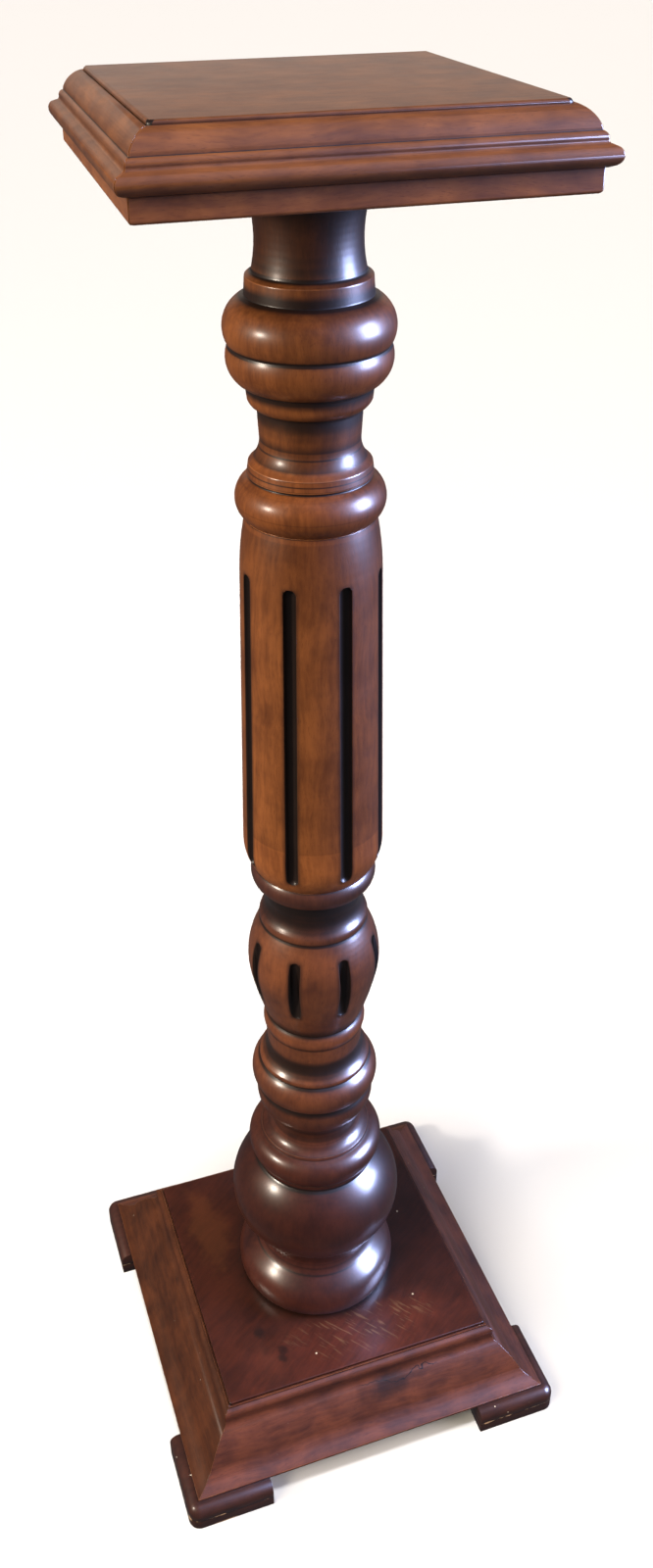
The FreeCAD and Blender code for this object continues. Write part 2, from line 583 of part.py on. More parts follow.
def vase_outline():
    """Ring, cove, drum, waist, small ring, fluted bulb, cove and cushion, from the ball up."""
    outline = Outline(0, VASE_Z).line(BALL_TOP_RADIUS, VASE_Z)
    outline.swell(RING_FLANK_RADIUS, RING_RADIUS, RING_LOWER_HEIGHT)
    outline.flow(RING_SHOULDER_RADIUS, RING_SHOULDER_HEIGHT)
    outline.flow(RING_SLOPE_RADIUS, RING_SLOPE_HEIGHT)
    outline.rise(RING_ARRIS_RADIUS, RING_ARRIS_RISE)
    outline.swell(LOWER_COVE_FOOT_RADIUS, LOWER_COVE_RADIUS, LOWER_COVE_HEIGHT, LOW)
    outline.flow(LOWER_COVE_TOP_RADIUS, LOWER_COVE_FLARE_HEIGHT)
    outline.swell(DRUM_BEAD_RADIUS, DRUM_QUIRK_RADIUS, DRUM_BEAD_HEIGHT)
    outline.rise(DRUM_QUIRK_RADIUS, DRUM_QUIRK_HEIGHT)
    outline.rise(DRUM_ARRIS_RADIUS, DRUM_ARRIS_RISE)
    outline.swell(DRUM_RADIUS, DRUM_CREASE_RADIUS, DRUM_HEIGHT)
    outline.swell(LOWER_LIP_RADIUS, LOWER_LIP_TOP_RADIUS, LOWER_LIP_HEIGHT)
    outline.swell(LOWER_FLARE_RADIUS, WAIST_RADIUS, LOWER_FLARE_HEIGHT, LOW)
    outline.rise(WAIST_TOP_RADIUS, WAIST_HEIGHT)
    outline.swell(SMALL_RING_RADIUS, BULB_CREASE_RADIUS, SMALL_RING_HEIGHT)
    outline.swell(BULB_FLANK_RADIUS, BULB_RADIUS, BULB_FLANK_HEIGHT)
    outline.flow(BULB_TOP_RADIUS, BULB_SHOULDER_HEIGHT)
    outline.swell(UPPER_LIP_RADIUS, UPPER_LIP_TOP_RADIUS, UPPER_LIP_HEIGHT)
    outline.swell(UPPER_FLARE_RADIUS, UPPER_COVE_RADIUS, UPPER_FLARE_HEIGHT, LOW)
    outline.rise(UPPER_COVE_TOP_RADIUS, UPPER_COVE_HEIGHT)
    outline.rise(CUSHION_QUIRK_RADIUS, CUSHION_QUIRK_RISE)
    outline.swell(CUSHION_RADIUS, CUSHION_TOP_RADIUS, CUSHION_HEIGHT, HIGH)
    return outline.line(0, SHAFT_Z)


def flute_cutter(low, high):
    """A round-ended cutter between two points, each (distance from the axis, height)."""
    a, b = Vector(0, -low[0], low[1]), Vector(0, -high[0], high[1])
    rod = Part.makeCylinder(FLUTE_CUTTER_RADIUS, (b - a).Length, a, b - a)
    ends = [Part.makeSphere(FLUTE_CUTTER_RADIUS, point) for point in (a, b)]
    return rod.fuse(ends)


def fluted(solid, cutter):
    """A turned solid with its flutes cut, evenly spaced round it."""
    step = 360.0 / FLUTE_COUNT
    return solid.cut([turned_by(cutter, FLUTE_PHASE + step * k) for k in range(FLUTE_COUNT)])


def vase_section():
    solid = turned(vase_outline()).cut(spigot_bore(VASE_Z))
    reach = BULB_RADIUS + BULB_FLUTE_STANDOFF
    foot = BULB_Z + BULB_FLUTE_FOOT_MARGIN + FLUTE_CUTTER_RADIUS
    head = BULB_TOP_Z - BULB_FLUTE_HEAD_MARGIN - FLUTE_CUTTER_RADIUS
    solid = fluted(solid, flute_cutter((reach, foot), (reach, head)))
    return solid.fuse(spigot(SHAFT_Z)).removeSplitter()


def shaft_section():
    outline = Outline(0, SHAFT_Z).line(CUSHION_TOP_RADIUS, SHAFT_Z)
    outline.swell(SHAFT_SHOULDER_RADIUS, SHAFT_FOOT_RADIUS, SHAFT_SHOULDER_HEIGHT)
    outline.rise(SHAFT_HEAD_RADIUS, SHAFT_TAPER_HEIGHT)
    outline.flow(SHAFT_TOP_RADIUS, SHAFT_CAP_HEIGHT)
    outline.line(0, CAPITAL_Z)
    solid = turned(outline).cut(spigot_bore(SHAFT_Z))
    taper = (SHAFT_FOOT_RADIUS - SHAFT_HEAD_RADIUS) / SHAFT_TAPER_HEIGHT
    taper_foot = SHAFT_Z + SHAFT_SHOULDER_HEIGHT
    ends = []
    for z in (SHAFT_Z + SHAFT_FLUTE_FOOT_MARGIN + FLUTE_CUTTER_RADIUS,
              CAPITAL_Z - SHAFT_FLUTE_HEAD_MARGIN - FLUTE_CUTTER_RADIUS):
        ends.append((SHAFT_FOOT_RADIUS - taper * (z - taper_foot) + SHAFT_FLUTE_STANDOFF, z))
    solid = fluted(solid, flute_cutter(*ends))
    return solid.fuse(spigot(CAPITAL_Z)).removeSplitter()


def capital_section():
    """Torus, neck, stepped double bulb, throat and the flare that meets the top."""
    outline = Outline(0, CAPITAL_Z).line(SHAFT_TOP_RADIUS, CAPITAL_Z)
    outline.swell(TORUS_RADIUS, TORUS_TOP_RADIUS, TORUS_HEIGHT)
    outline.rise(COLLAR_STRIP_FOOT_RADIUS, COLLAR_STRIP_RISE)
    outline.rise(COLLAR_STRIP_RADIUS, COLLAR_STRIP_HEIGHT)
    outline.swell(NECK_FLARE_RADIUS, NECK_RADIUS, NECK_FLARE_HEIGHT, LOW)
    outline.flow(NECK_UPPER_RADIUS, NECK_UPPER_HEIGHT)
    outline.swell(STEP_ROUND_RADIUS, STEP_RADIUS, STEP_ROUND_HEIGHT)
    outline.rise(STEP_BAND_RADIUS, STEP_BAND_HEIGHT)
    outline.swell(UNDER_BULB_RADIUS, BULB_GROOVE_RADIUS, UNDER_BULB_HEIGHT)
    outline.swell(MAIN_BULB_RADIUS, MAIN_BULB_TOP_RADIUS, MAIN_BULB_HEIGHT)
    outline.rise(BAND_RADIUS, BAND_HEIGHT)
    outline.rise(BAND_TOP_RADIUS, BAND_TOP_RISE)
    outline.swell(THROAT_RADIUS, THROAT_TOP_RADIUS, THROAT_HEIGHT)
    outline.flow(COLLAR_RADIUS, FLARE_HEIGHT)
    outline.line(COLLAR_RADIUS, CORE_Z).line(0, CORE_Z)
    solid = turned(outline).cut(spigot_bore(CAPITAL_Z))
    tenon = cylinder(SPIGOT_RADIUS, CORE_Z, TOP_LEDGE_Z - SPIGOT_END_GAP)
    return solid.cut(top_screw_holes()).fuse(tenon).removeSplitter()


def column():
    return {
        "column_foot": foot_section(),
        "column_vase": vase_section(),
        "column_shaft": shaft_section(),
        "column_capital": capital_section(),
    }


# ---------------------------------------------------------------- top
def top_moulding_outline():
    """Quirk, ovolo, bead, cove and rounded lip, from the panel's edge down and out."""
    panel_edge = TOP_PANEL_HALF + PANEL_GAP
    r, z = TOP_PANEL_HALF + TOP_QUIRK_WIDTH, STAND_HEIGHT - TOP_QUIRK_DROP
    outline = Outline(panel_edge, TOP_LEDGE_Z).line(panel_edge, z).line(r, z)
    r, z = r + TOP_OVOLO_WIDTH, z - TOP_OVOLO_HEIGHT
    outline.bow(TOP_OVOLO_CROWN, r, z)
    z -= TOP_BEAD_QUIRK
    outline.line(r, z)
    r, z = r + TOP_BEAD_WIDTH, z - TOP_BEAD_HEIGHT
    outline.bead(r, z)
    r, z = r + TOP_COVE_WIDTH, z - TOP_COVE_HEIGHT
    outline.hollow(r, z)
    r, z = r + TOP_LIP_SLOPE_WIDTH, z - TOP_LIP_SLOPE_HEIGHT
    outline.line(r, z)
    nose = r + TOP_NOSE_WIDTH
    outline.curve(nose, z - TOP_NOSE_HEIGHT * MIDDLE, nose - TOP_NOSE_RETURN, z - TOP_NOSE_HEIGHT)
    outline.line(nose - TOP_NOSE_RETURN - TOP_LIP_UNDERSIDE_WIDTH, TOP_MOULDING_Z)
    outline.line(TOP_FRAME_INNER, TOP_MOULDING_Z)
    return outline.line(TOP_FRAME_INNER, TOP_LEDGE_Z)


def apron_outline():
    outline = Outline(TOP_FRAME_INNER, APRON_Z)
    outline.line(TOP_FRAME_INNER, TOP_MOULDING_Z).line(APRON_HALF, TOP_MOULDING_Z)
    outline.line(APRON_HALF, APRON_Z + APRON_EDGE_RADIUS)
    inset = APRON_EDGE_RADIUS * (1 - COS_45)
    return outline.curve(APRON_HALF - inset, APRON_Z + inset, APRON_HALF - APRON_EDGE_RADIUS, APRON_Z)


def top():
    moulding = mitred_rail(top_moulding_outline(), TOP_HALF, TOP_MOULDING_Z, STAND_HEIGHT)
    apron = mitred_rail(apron_outline(), TOP_HALF, APRON_Z, TOP_MOULDING_Z)
    panel = board(TOP_PANEL_HALF, TOP_LEDGE_Z, STAND_HEIGHT, TOP_PANEL_EDGE_RADIUS)
    core = turned_by(board(TOP_FRAME_INNER - PANEL_GAP, CORE_Z, TOP_LEDGE_Z), TOP_TURN)
    core = core.cut(cylinder(SPIGOT_RADIUS + SPIGOT_GAP, CORE_Z, TOP_LEDGE_Z))
    pieces = {"top_panel": turned_by(panel, TOP_TURN), "top_core": core.cut(top_screw_holes())}
    pieces.update(four_rails("top_moulding", moulding, TOP_TURN))
    pieces.update(four_rails("top_apron", apron, TOP_TURN))
    return pieces


# ---------------------------------------------------------------- all pieces
def build():
    os.makedirs("parts", exist_ok=True)
    for group in (feet(), base(), column(), top(), fixings()):
        for name, shape in group.items():
            solids = shape.Solids
            piece = solids[0] if len(solids) == 1 else Part.makeCompound(solids)
            piece.exportStep("parts/" + name + ".step")
            print(name, len(solids), piece.isValid(), round(piece.Volume / 1000.0, 1), "cm3")
    print("height", round(STAND_HEIGHT, 2), "width", round(2 * FOOT_HALF, 2))


build()
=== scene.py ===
"""Dresses the pedestal column stand: softened edges, lacquered woods, wear, floor, light and camera.

Everything is in metres, +Z up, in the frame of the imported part.  The front faces -Y.
"""
import math
from bisect import bisect_left
from contextlib import contextmanager

import bmesh
import bpy
from mathutils import Matrix, Vector


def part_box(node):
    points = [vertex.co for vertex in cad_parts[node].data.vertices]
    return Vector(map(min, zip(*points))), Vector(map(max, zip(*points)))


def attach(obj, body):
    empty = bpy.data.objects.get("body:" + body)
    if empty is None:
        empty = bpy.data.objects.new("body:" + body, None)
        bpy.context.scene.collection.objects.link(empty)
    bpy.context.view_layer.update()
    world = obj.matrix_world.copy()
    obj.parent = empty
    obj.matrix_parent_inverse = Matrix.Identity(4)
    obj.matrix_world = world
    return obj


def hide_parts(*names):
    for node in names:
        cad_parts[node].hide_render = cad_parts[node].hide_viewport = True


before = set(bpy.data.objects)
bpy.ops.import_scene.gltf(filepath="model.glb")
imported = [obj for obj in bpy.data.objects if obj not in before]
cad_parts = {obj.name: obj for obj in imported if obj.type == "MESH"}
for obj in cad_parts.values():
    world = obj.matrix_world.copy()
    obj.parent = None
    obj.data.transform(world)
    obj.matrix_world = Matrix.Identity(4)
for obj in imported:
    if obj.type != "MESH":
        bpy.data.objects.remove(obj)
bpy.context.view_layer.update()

bl_info = {
    "name": "Pedestal column stand",
    "version": (1, 0, 0),
    "blender": (4, 5, 0),
    "location": "3D View > Sidebar > Stand",
    "description": "Softened edges and old lacquered woods for a turned pedestal column stand",
    "category": "Object",
}

MM = 0.001
BODY = "root"
SIDES = ("front", "right", "back", "left")
CORNERS = ("front_left", "front_right", "back_right", "back_left")
FIXINGS = ("foot_screws", "top_screws", "base_bolt", "base_washer", "base_nut")
HIDDEN_BOARDS = ("base_core", "top_core") + tuple("base_block_" + corner for corner in CORNERS)

FLOOR_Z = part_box("foot_pad_front_left")[0].z
PAD_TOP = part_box("foot_pad_front_left")[1].z
PANEL_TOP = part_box("base_panel")[1].z
TOP_TURN = math.radians(-3.2)      # the top stands out of square with the base by this much
# heights between which the flutes of the bulb and of the shaft are cut
BULB_FLUTE_ENDS = (0.3939, 0.4492)
SHAFT_FLUTE_ENDS = (0.5197, 0.7372)

# ---------------------------------------------------------------- shaping
ORIGIN = (0, 0, 0)
X_AXIS, Y_AXIS, Z_AXIS = (1, 0, 0), (0, 1, 0), (0, 0, 1)
MERGE = 0.002 * MM                 # points this close in a copied CAD mesh are one point
FLAT_ANGLE = math.radians(0.4)     # faces that meet at less than this are one flat face
CORNER_ANGLE = math.radians(24)    # edges that turn by more than this are corners or creases
SMOOTH_ANGLE = math.radians(32)    # faces that meet at less than this shade as one surface
BEVEL_STEPS = 2                    # faces across a softened corner
CUTTER_STEPS = 32                  # faces round the flute cutter's nose

# material slots on a finished piece, after the slot of its faces
ARRIS, HOLLOW = 1, 2

HOLLOW_MARK = "hollow"             # name of the mark for how deep in a hollow a point lies
# how far along the axis the outline is compared, and how deep a hollow is fully glazed and painted
# in shade
CREASE_REACH = (-2.2 * MM, 2.2 * MM)
CREASE_DEPTH = 0.55 * MM
HOLLOW_REACH = (-13 * MM, -8 * MM, 8 * MM, 13 * MM)
HOLLOW_DEPTH = 3.4 * MM
MARK_DIGITS = 5                    # decimals of the heights, in metres, that are marked apart

# ---------------------------------------------------------------- figure and glaze of the woods
# how the figure is squeezed along the grain, for each way that the grain runs
ALONG_GRAIN = 0.11
UPRIGHT, ALONG_X, ALONG_Y = (1, 1, ALONG_GRAIN), (ALONG_GRAIN, 1, 1), (1, ALONG_GRAIN, 1)

# what each noise draws, and its settings
NOISES = {
    "drift": {"Scale": 16.0, "Detail": 2.0},
    "mottle": {"Scale": 34.0, "Detail": 3.0, "Roughness": 0.6},
    "streak": {"Scale": 300.0, "Detail": 4.0, "Roughness": 0.62},
    "pore": {"Scale": 1700.0, "Detail": 1.0},
    "smudge": {"Scale": 55.0, "Detail": 5.0, "Roughness": 0.6},
    "glaze edge": {"Scale": 85.0, "Detail": 3.0},
    "rubbing": {"Scale": 70.0, "Detail": 4.0},
    "fleck": {"Scale": 260.0, "Detail": 1.0},
    "crack": {"Scale": 60.0, "Detail": 3.0},
    "stroke": {"Scale": 480.0, "Detail": 2.0},
    "joint": {"Scale": 110.0, "Detail": 3.0},
}
DRIFT_REACH = 16 * MM              # how far the figure wanders
PORE_EDGE, PORE_DARKNESS = (0.60, 0.72), 0.4
STREAK_RELIEF = 0.4                # height of the streaks beside the depth of the pores
RELIEF_DEPTH = 0.12 * MM
SMUDGES = 0.16                     # how much the roughness varies
SPECULAR_LEVEL = 0.3               # of the wood under its lacquer

# how closed in a place is where the darkening begins and where it is full: soft painted shade
# in hollows, and tight near-black glaze in creases that is partly painted shade
SOFT_SHADE_EDGE, SOFT_SHADE_STRENGTH = (0.06, 0.60), 0.80
TIGHT_GLAZE_AND_SHADE_EDGE = (0.36, 0.66)
OPENNESS_SAMPLES = 6
# the same for the turned sections, by their hollow mark: glaze and painted shade in the
# hollows, and a painted highlight on the crowns at the mark's negative end
LIT_CROWN_EDGE, LIT_CROWN_STRENGTH, CROWN_HIGHLIGHT_TINT = (-0.10, -0.75), 0.6, (1.6, 1.6, 1.6)
HOLLOW_GLAZE_SHADE_EDGE, HOLLOW_GLAZE_SHADE_STRENGTH = (0.0, 0.85), 0.93
HOLLOW_AND_CROWN_WAVER = 0.30
PATCH_EDGE = (1.0, 0.35)           # shares of its size between which a patch fades in
RUBBED_EDGE = (0.42, 0.60)         # noise between which a rubbed arris turns to whole wood
FLECK_FADE = 0.02                  # noise over which a fleck fades in

# how far beside a flute its glaze spreads, in flute spacings, and past its ends
FLUTE_SHADE_EDGE, FLUTE_SHADE_STRENGTH = (0.20, 0.085), 0.8
FLUTE_SHADE_END = 3 * MM

# ---------------------------------------------------------------- ageing, piece by piece
# the height where a colour step begins, the height where it is full, and the factors that
# multiply the colour beyond it. On the upper column the steps are painted shade under the top:
# darker from the shaft head up, nearly even again on the capital, much darker in the throat.
# On the lower column they make the vase lighter above the drum and the ball and foot darker,
# and paint shade on the top of the vase under the shaft.
LOWER_TONE_AND_SHADE_BY_HEIGHT = ((0.27, 0.36, (2.3, 2.4, 1.9)), (0.27, 0.22, (0.54, 0.44, 0.52)),
                (0.455, 0.472, (0.34, 0.36, 0.58)))
UPPER_PAINTED_SHADE_BY_HEIGHT = ((0.700, 0.765, (0.66, 0.62, 0.58)), (0.790, 0.850, (1.45, 1.5, 1.5)),
                (0.900, 0.925, (0.33, 0.31, 0.36)))

# painted light and shade on each side of the base moulding, as factors on its colour: lighter
# and cooler on the front, right and back, darker and warmer on the left
MOULDING_SIDE_LIGHT = {"front": (1.2, 1.15, 1.25), "right": (1.1, 1.1, 1.2), "back": (1.2, 1.2, 1.2),
                  "left": (0.75, 0.72, 0.55)}
# how much lighter than the top panel the rest of the top is; the apron's lift is painted
# light, as the apron stands in shade under the moulding's nose
TOP_PAINTED_LIGHT = {"moulding": 1.15, "apron": 2.2}

# marks in millimetres: the middle of each, from the middle of the stand, and half its size;
# those of the panel lie on its face
MOULDING_SMUDGE = (24, -120, 50), (34, 14, 14)
# a painted pool of light on the panel's front strip, outside the shadow of the top
PANEL_FRONT_LIGHT = (5, -90), (120, 42, 30)
PANEL_STROKES = (12, -80), (80, 26, 30)
# a painted warm glow of reflected light on the panel beside the ball
PANEL_AMBER_GLOW = (-82, 52), (20, 56, 30)
PANEL_STAINS = ((-69, -58), 7), ((-56, -79), 6), ((-58, -86), 5)
PANEL_SPECKS = (83.3, 16.4), (-31, -91), (64, -66)
SPECK_SIZE = (1.1, 1.1, 1.1)
FOOT_CHIPS = (((-157, -151, 9), (2, 5, 4)), ((-157, -157, 3), (3, 3, 3)),
              ((-130, -157, 1), (12, 2, 1.5)))

PANEL_GRAIN_TURN = math.radians(35)
# how much lighter the painted light makes the panel's front strip
PANEL_FRONT_LIGHT_TINT = (1.8, 1.7, 1.8)
STROKE_TURN, STROKE_LENGTH, STROKE_EDGE = math.radians(-52), 9.0, (0.55, 0.66)

# the hairline in the front moulding: its lowest height, its sway, its edge and its reach along X
CRACK_HEIGHT, CRACK_SWAY, CRACK_EDGE = 48 * MM, 14 * MM, (0.35 * MM, 0.15 * MM)
CRACK_MIDDLE, CRACK_END = 30 * MM, (36 * MM, 30 * MM)

# the feet's glue joint: the edge of its dark line, and of the pale dashes that break it
JOINT_EDGE = (0.9 * MM, 0.5 * MM)
DASH_SWAY, DASH_EDGE = -4 * MM, (-1.7 * MM, -2.0 * MM)

# ---------------------------------------------------------------- light and camera
SKY_COLOUR = (0.95, 0.95, 1.0)
# far lights: the way to them, how many degrees wide they look, and their colour and setting
FAR_LIGHTS = (
    ("Ceiling", (-0.06, -0.07, 1.0), 9, (1.0, 0.95, 0.90), "ceiling_strength"),
    ("Left", (-0.80, -0.42, 0.95), 22, (1.0, 0.84, 0.62), "left_strength"),
    ("Right", (0.86, -0.50, 0.36), 40, (1.0, 0.84, 0.72), "right_strength"))
# side lights: degrees from the front, distance, height, size, colour and setting, and whether
# they light the woods or only gleam in the lacquer
SIDE_LIGHTS = (
    ("Back wall", 161, 3.0, 1.42, (3.2, 1.0), (1.0, 0.84, 0.70), "wall_power", False),
    ("Left wall", -88, 2.6, 1.35, (2.4, 1.5), (1.0, 0.74, 0.36), "wall_power", False),
    ("Cool ceiling", 20, 0.9, 2.7, (2.2, 2.0), (0.55, 0.68, 1.0), "cool_power", False),
    ("Window pane", 61, 2.3, 1.4, (0.62, 1.40), (0.45, 0.55, 1.0), "window_power", False),
    ("Window pane", 73, 2.3, 1.4, (0.62, 1.40), (0.45, 0.55, 1.0), "window_power", False),
    ("Warm lamp", -86, 1.9, 1.35, (0.26, 0.26), (1.0, 0.86, 0.72), "lamp_power", True))
LIT_HEIGHT = 0.8                   # height on the stand that the side lights face
FAR_LIGHT_PLACE = 3.0              # how far off a far light hangs, which changes nothing
FLOOR_ROUGHNESS = 0.85
SENSOR_WIDTH = 36.0
CAMERA_FAR_END = 200.0


# ================================================================ settings
class StandSizes(bpy.types.PropertyGroup):
    """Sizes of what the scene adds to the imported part."""

    turn_steps: bpy.props.IntProperty(
        name="Turning steps", description="Faces round each turned section",
        default=120, min=48, max=256)
    ring_spacing: bpy.props.FloatProperty(
        name="Ring spacing", description="Longest face along the axis of a turned section",
        default=1.6 * MM, min=0.0005, unit="LENGTH")
    arris_width: bpy.props.FloatProperty(
        name="Turned arris", description="Width of the rubbed corners of the turned sections",
        default=0.35 * MM, min=0.0, unit="LENGTH")
    crease_width: bpy.props.FloatProperty(
        name="Glazed crease", description="Width of the old glaze that fills a turned crease",
        default=0.7 * MM, min=0.0, unit="LENGTH")
    board_arris: bpy.props.FloatProperty(
        name="Board arris", description="Width of the rubbed corners of boards and mouldings",
        default=0.5 * MM, min=0.0, unit="LENGTH")
    # the dark line is the panel's joint, with painted shadow in the gap round the panel
    panel_joint_shadow_line: bpy.props.FloatProperty(
        name="Panel line", description="Width of the dark line round each panel",
        default=2.2 * MM, min=0.0, unit="LENGTH")
    flute_count: bpy.props.IntProperty(
        name="Flutes", description="Flutes round the bulb and round the shaft", default=8)
    flute_phase: bpy.props.FloatProperty(
        name="First flute", description="Turn of the first flute from the front",
        default=math.radians(9), unit="ROTATION")
    flute_radius: bpy.props.FloatProperty(
        name="Flute cutter", description="Radius of the round-nosed flute cutter",
        default=4.2 * MM, unit="LENGTH")
    bulb_flute_reach: bpy.props.FloatProperty(
        name="Bulb flute reach", description="From the axis to the bulb cutter's middle line",
        default=46.2 * MM, unit="LENGTH")
    shaft_flute_foot_reach: bpy.props.FloatProperty(
        name="Shaft flute foot", description="From the axis to the shaft cutter's lower end",
        default=48.41 * MM, unit="LENGTH")
    shaft_flute_head_reach: bpy.props.FloatProperty(
        name="Shaft flute head", description="From the axis to the shaft cutter's upper end",
        default=43.9 * MM, unit="LENGTH")


def colour_property(name, description, default):
    return bpy.props.FloatVectorProperty(
        name=name, description=description, subtype="COLOR", size=3, min=0.0, max=1.0,
        default=default)


class StandFinish(bpy.types.PropertyGroup):
    """Colours and gloss of the old finish."""

    upper_light: colour_property(
        "Upper column, light", "Light figure of the shaft and capital", (0.35, 0.120, 0.034))
    upper_dark: colour_property(
        "Upper column, dark", "Dark figure of the shaft and capital", (0.105, 0.031, 0.010))
    lower_light: colour_property(
        "Lower column, light", "Light figure of the foot and the vase", (0.130, 0.041, 0.020))
    lower_dark: colour_property(
        "Lower column, dark", "Dark figure of the foot and the vase", (0.032, 0.010, 0.008))
    base_light: colour_property(
        "Base, light", "Light figure of the base moulding", (0.140, 0.044, 0.021))
    base_dark: colour_property(
        "Base, dark", "Dark figure of the base moulding", (0.032, 0.010, 0.007))
    foot_light: colour_property(
        "Feet, light", "Light figure of the feet", (0.075, 0.026, 0.018))
    foot_dark: colour_property(
        "Feet, dark", "Dark figure of the feet", (0.020, 0.009, 0.009))
    panel_light: colour_property(
        "Base panel, light", "Light figure of the base panel", (0.070, 0.017, 0.009))
    panel_dark: colour_property(
        "Base panel, dark", "Dark figure of the base panel", (0.020, 0.006, 0.004))
    top_light: colour_property(
        "Top, light", "Light figure of the top", (0.24, 0.088, 0.028))
    top_dark: colour_property(
        "Top, dark", "Dark figure of the top", (0.070, 0.022, 0.010))
    # also the colour of the painted shade in hollows
    glaze: colour_property(
        "Glaze", "Nearly black glaze in creases and flutes", (0.009, 0.005, 0.004))
    # also stands in for a painted glint along the arrises
    rubbed: colour_property(
        "Rubbed arris", "Wood that shows where arrises are worn", (0.42, 0.17, 0.075))
    raw: colour_property(
        "Raw wood", "Bare wood in chips and breaks", (0.62, 0.42, 0.26))
    pale_fleck: colour_property(
        "Pale fleck", "Small chips and specks that show nearly white", (0.75, 0.68, 0.58))
    softwood: colour_property(
        "Softwood", "Unfinished boards and blocks inside", (0.52, 0.34, 0.18))
    steel: colour_property(
        "Steel", "Dull steel of the fixings", (0.36, 0.35, 0.33))
    coat_roughness: bpy.props.FloatProperty(
        name="Lacquer roughness", description="Roughness of the lacquer over the wood",
        default=0.25, min=0.0, max=1.0)


class StandStage(bpy.types.PropertyGroup):
    """Floor, light and camera."""

    floor_size: bpy.props.FloatProperty(
        name="Floor size", description="Side of the square floor", default=90.0, unit="LENGTH")
    floor_colour: colour_property("Floor", "Pale plain floor", (0.80, 0.83, 0.88))
    sky_strength: bpy.props.FloatProperty(
        name="Room light", description="Even light from all round", default=0.07)
    ceiling_strength: bpy.props.FloatProperty(
        name="Ceiling light", description="Light from nearly straight above", default=2.1)
    left_strength: bpy.props.FloatProperty(
        name="Left light", description="Warm soft light from the front left", default=1.6)
    window_power: bpy.props.FloatProperty(
        name="Window", description="Power of each of the two cool panes", default=190.0)
    right_strength: bpy.props.FloatProperty(
        name="Right light", description="Soft light from the front right", default=2.3)
    wall_power: bpy.props.FloatProperty(
        name="Walls", description="Power of each of the two dim warm walls", default=4.0)
    cool_power: bpy.props.FloatProperty(
        name="Cool ceiling", description="Power of the dim cool light above the front",
        default=8.0)
    lamp_power: bpy.props.FloatProperty(
        name="Lamp", description="Power of the warm side light", default=34.0)
    camera_place: bpy.props.FloatVectorProperty(
        name="Camera", description="Camera position", subtype="TRANSLATION", unit="LENGTH",
        default=(-0.24310, -0.71150, 1.09139))
    camera_yaw: bpy.props.FloatProperty(
        name="Yaw", description="Camera turn from +Y", default=-0.32393, unit="ROTATION")
    camera_pitch: bpy.props.FloatProperty(
        name="Pitch", description="Camera tilt, below level", default=-0.57921,
        unit="ROTATION")
    camera_roll: bpy.props.FloatProperty(
        name="Roll", description="Camera roll", default=-0.00957, unit="ROTATION")
    camera_lens: bpy.props.FloatProperty(
        name="Lens", description="Focal length for a 36 mm sensor, in millimetres",
        default=31.16)
    camera_shift: bpy.props.FloatVectorProperty(
        name="Shift", description="Shift of the frame, as a share of its long side", size=2,
        default=(0.0129, -0.0219))


# ================================================================ mesh tools
def deselect_all():
    if bpy.context.mode != "OBJECT":
        bpy.ops.object.mode_set(mode="OBJECT")
    bpy.ops.object.select_all(action="DESELECT")


def pick(*objects):
    """Selects only these objects and makes the first one active."""
    deselect_all()
    for one in objects:
        one.select_set(True)
    bpy.context.view_layer.objects.active = objects[0]


@contextmanager
def editing(piece, mode="VERT"):
    """Edit mode on one piece, with everything in it selected."""
    pick(piece)
    bpy.ops.object.mode_set(mode="EDIT")
    bpy.ops.mesh.select_mode(type=mode)
    bpy.ops.mesh.select_all(action="SELECT")
    yield piece.data
    bpy.ops.object.mode_set(mode="OBJECT")


def choose(mesh, kind, test):
    """Selects only the vertices, edges or faces that pass a test, in edit mode."""
    bpy.ops.mesh.select_all(action="DESELECT")
    shape = bmesh.from_edit_mesh(mesh)
    chosen = [one for one in getattr(shape, kind) if test(one)]
    for one in chosen:
        one.select_set(True)
    shape.select_flush_mode()
    bmesh.update_edit_mesh(mesh)
    return len(chosen)


def copy_of(node, name):
    """A copy of a CAD node's mesh in an object of its own, with its doubled points merged."""
    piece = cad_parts[node].copy()
    piece.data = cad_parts[node].data.copy()
    piece.name = piece.data.name = name
    piece.parent = None
    for key in list(piece.keys()):
        del piece[key]
    bpy.context.scene.collection.objects.link(piece)
    piece.data.materials.clear()
    with editing(piece):
        bpy.ops.mesh.remove_doubles(threshold=MERGE)
    return piece


def keep_inside(piece, node):
    """Puts back any point that a bevel pushed past the CAD node's box."""
    low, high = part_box(node)
    for vertex in piece.data.vertices:
        vertex.co = [max(low[i], min(high[i], vertex.co[i])) for i in range(3)]


def is_corner(edge, sign):
    """Whether an edge is a corner that stands out (sign 1) or a crease (sign -1)."""
    return edge.is_manifold and sign * edge.calc_face_angle_signed(0.0) > CORNER_ANGLE


def soften_corners(mesh, sign, width, slot):
    """Bevels the corners that stand out, or the creases, and gives the bevels a slot."""
    if choose(mesh, "edges", lambda edge: is_corner(edge, sign)):
        bpy.ops.mesh.bevel(offset=width, segments=BEVEL_STEPS, material=slot, clamp_overlap=True)


def rise(edge):
    return abs(edge.verts[0].co.z - edge.verts[1].co.z)


def outline_points(mesh):
    """The points of a half section that lie off its axis, in edit mode."""
    return [vertex for vertex in bmesh.from_edit_mesh(mesh).verts if vertex.co.x > MERGE]


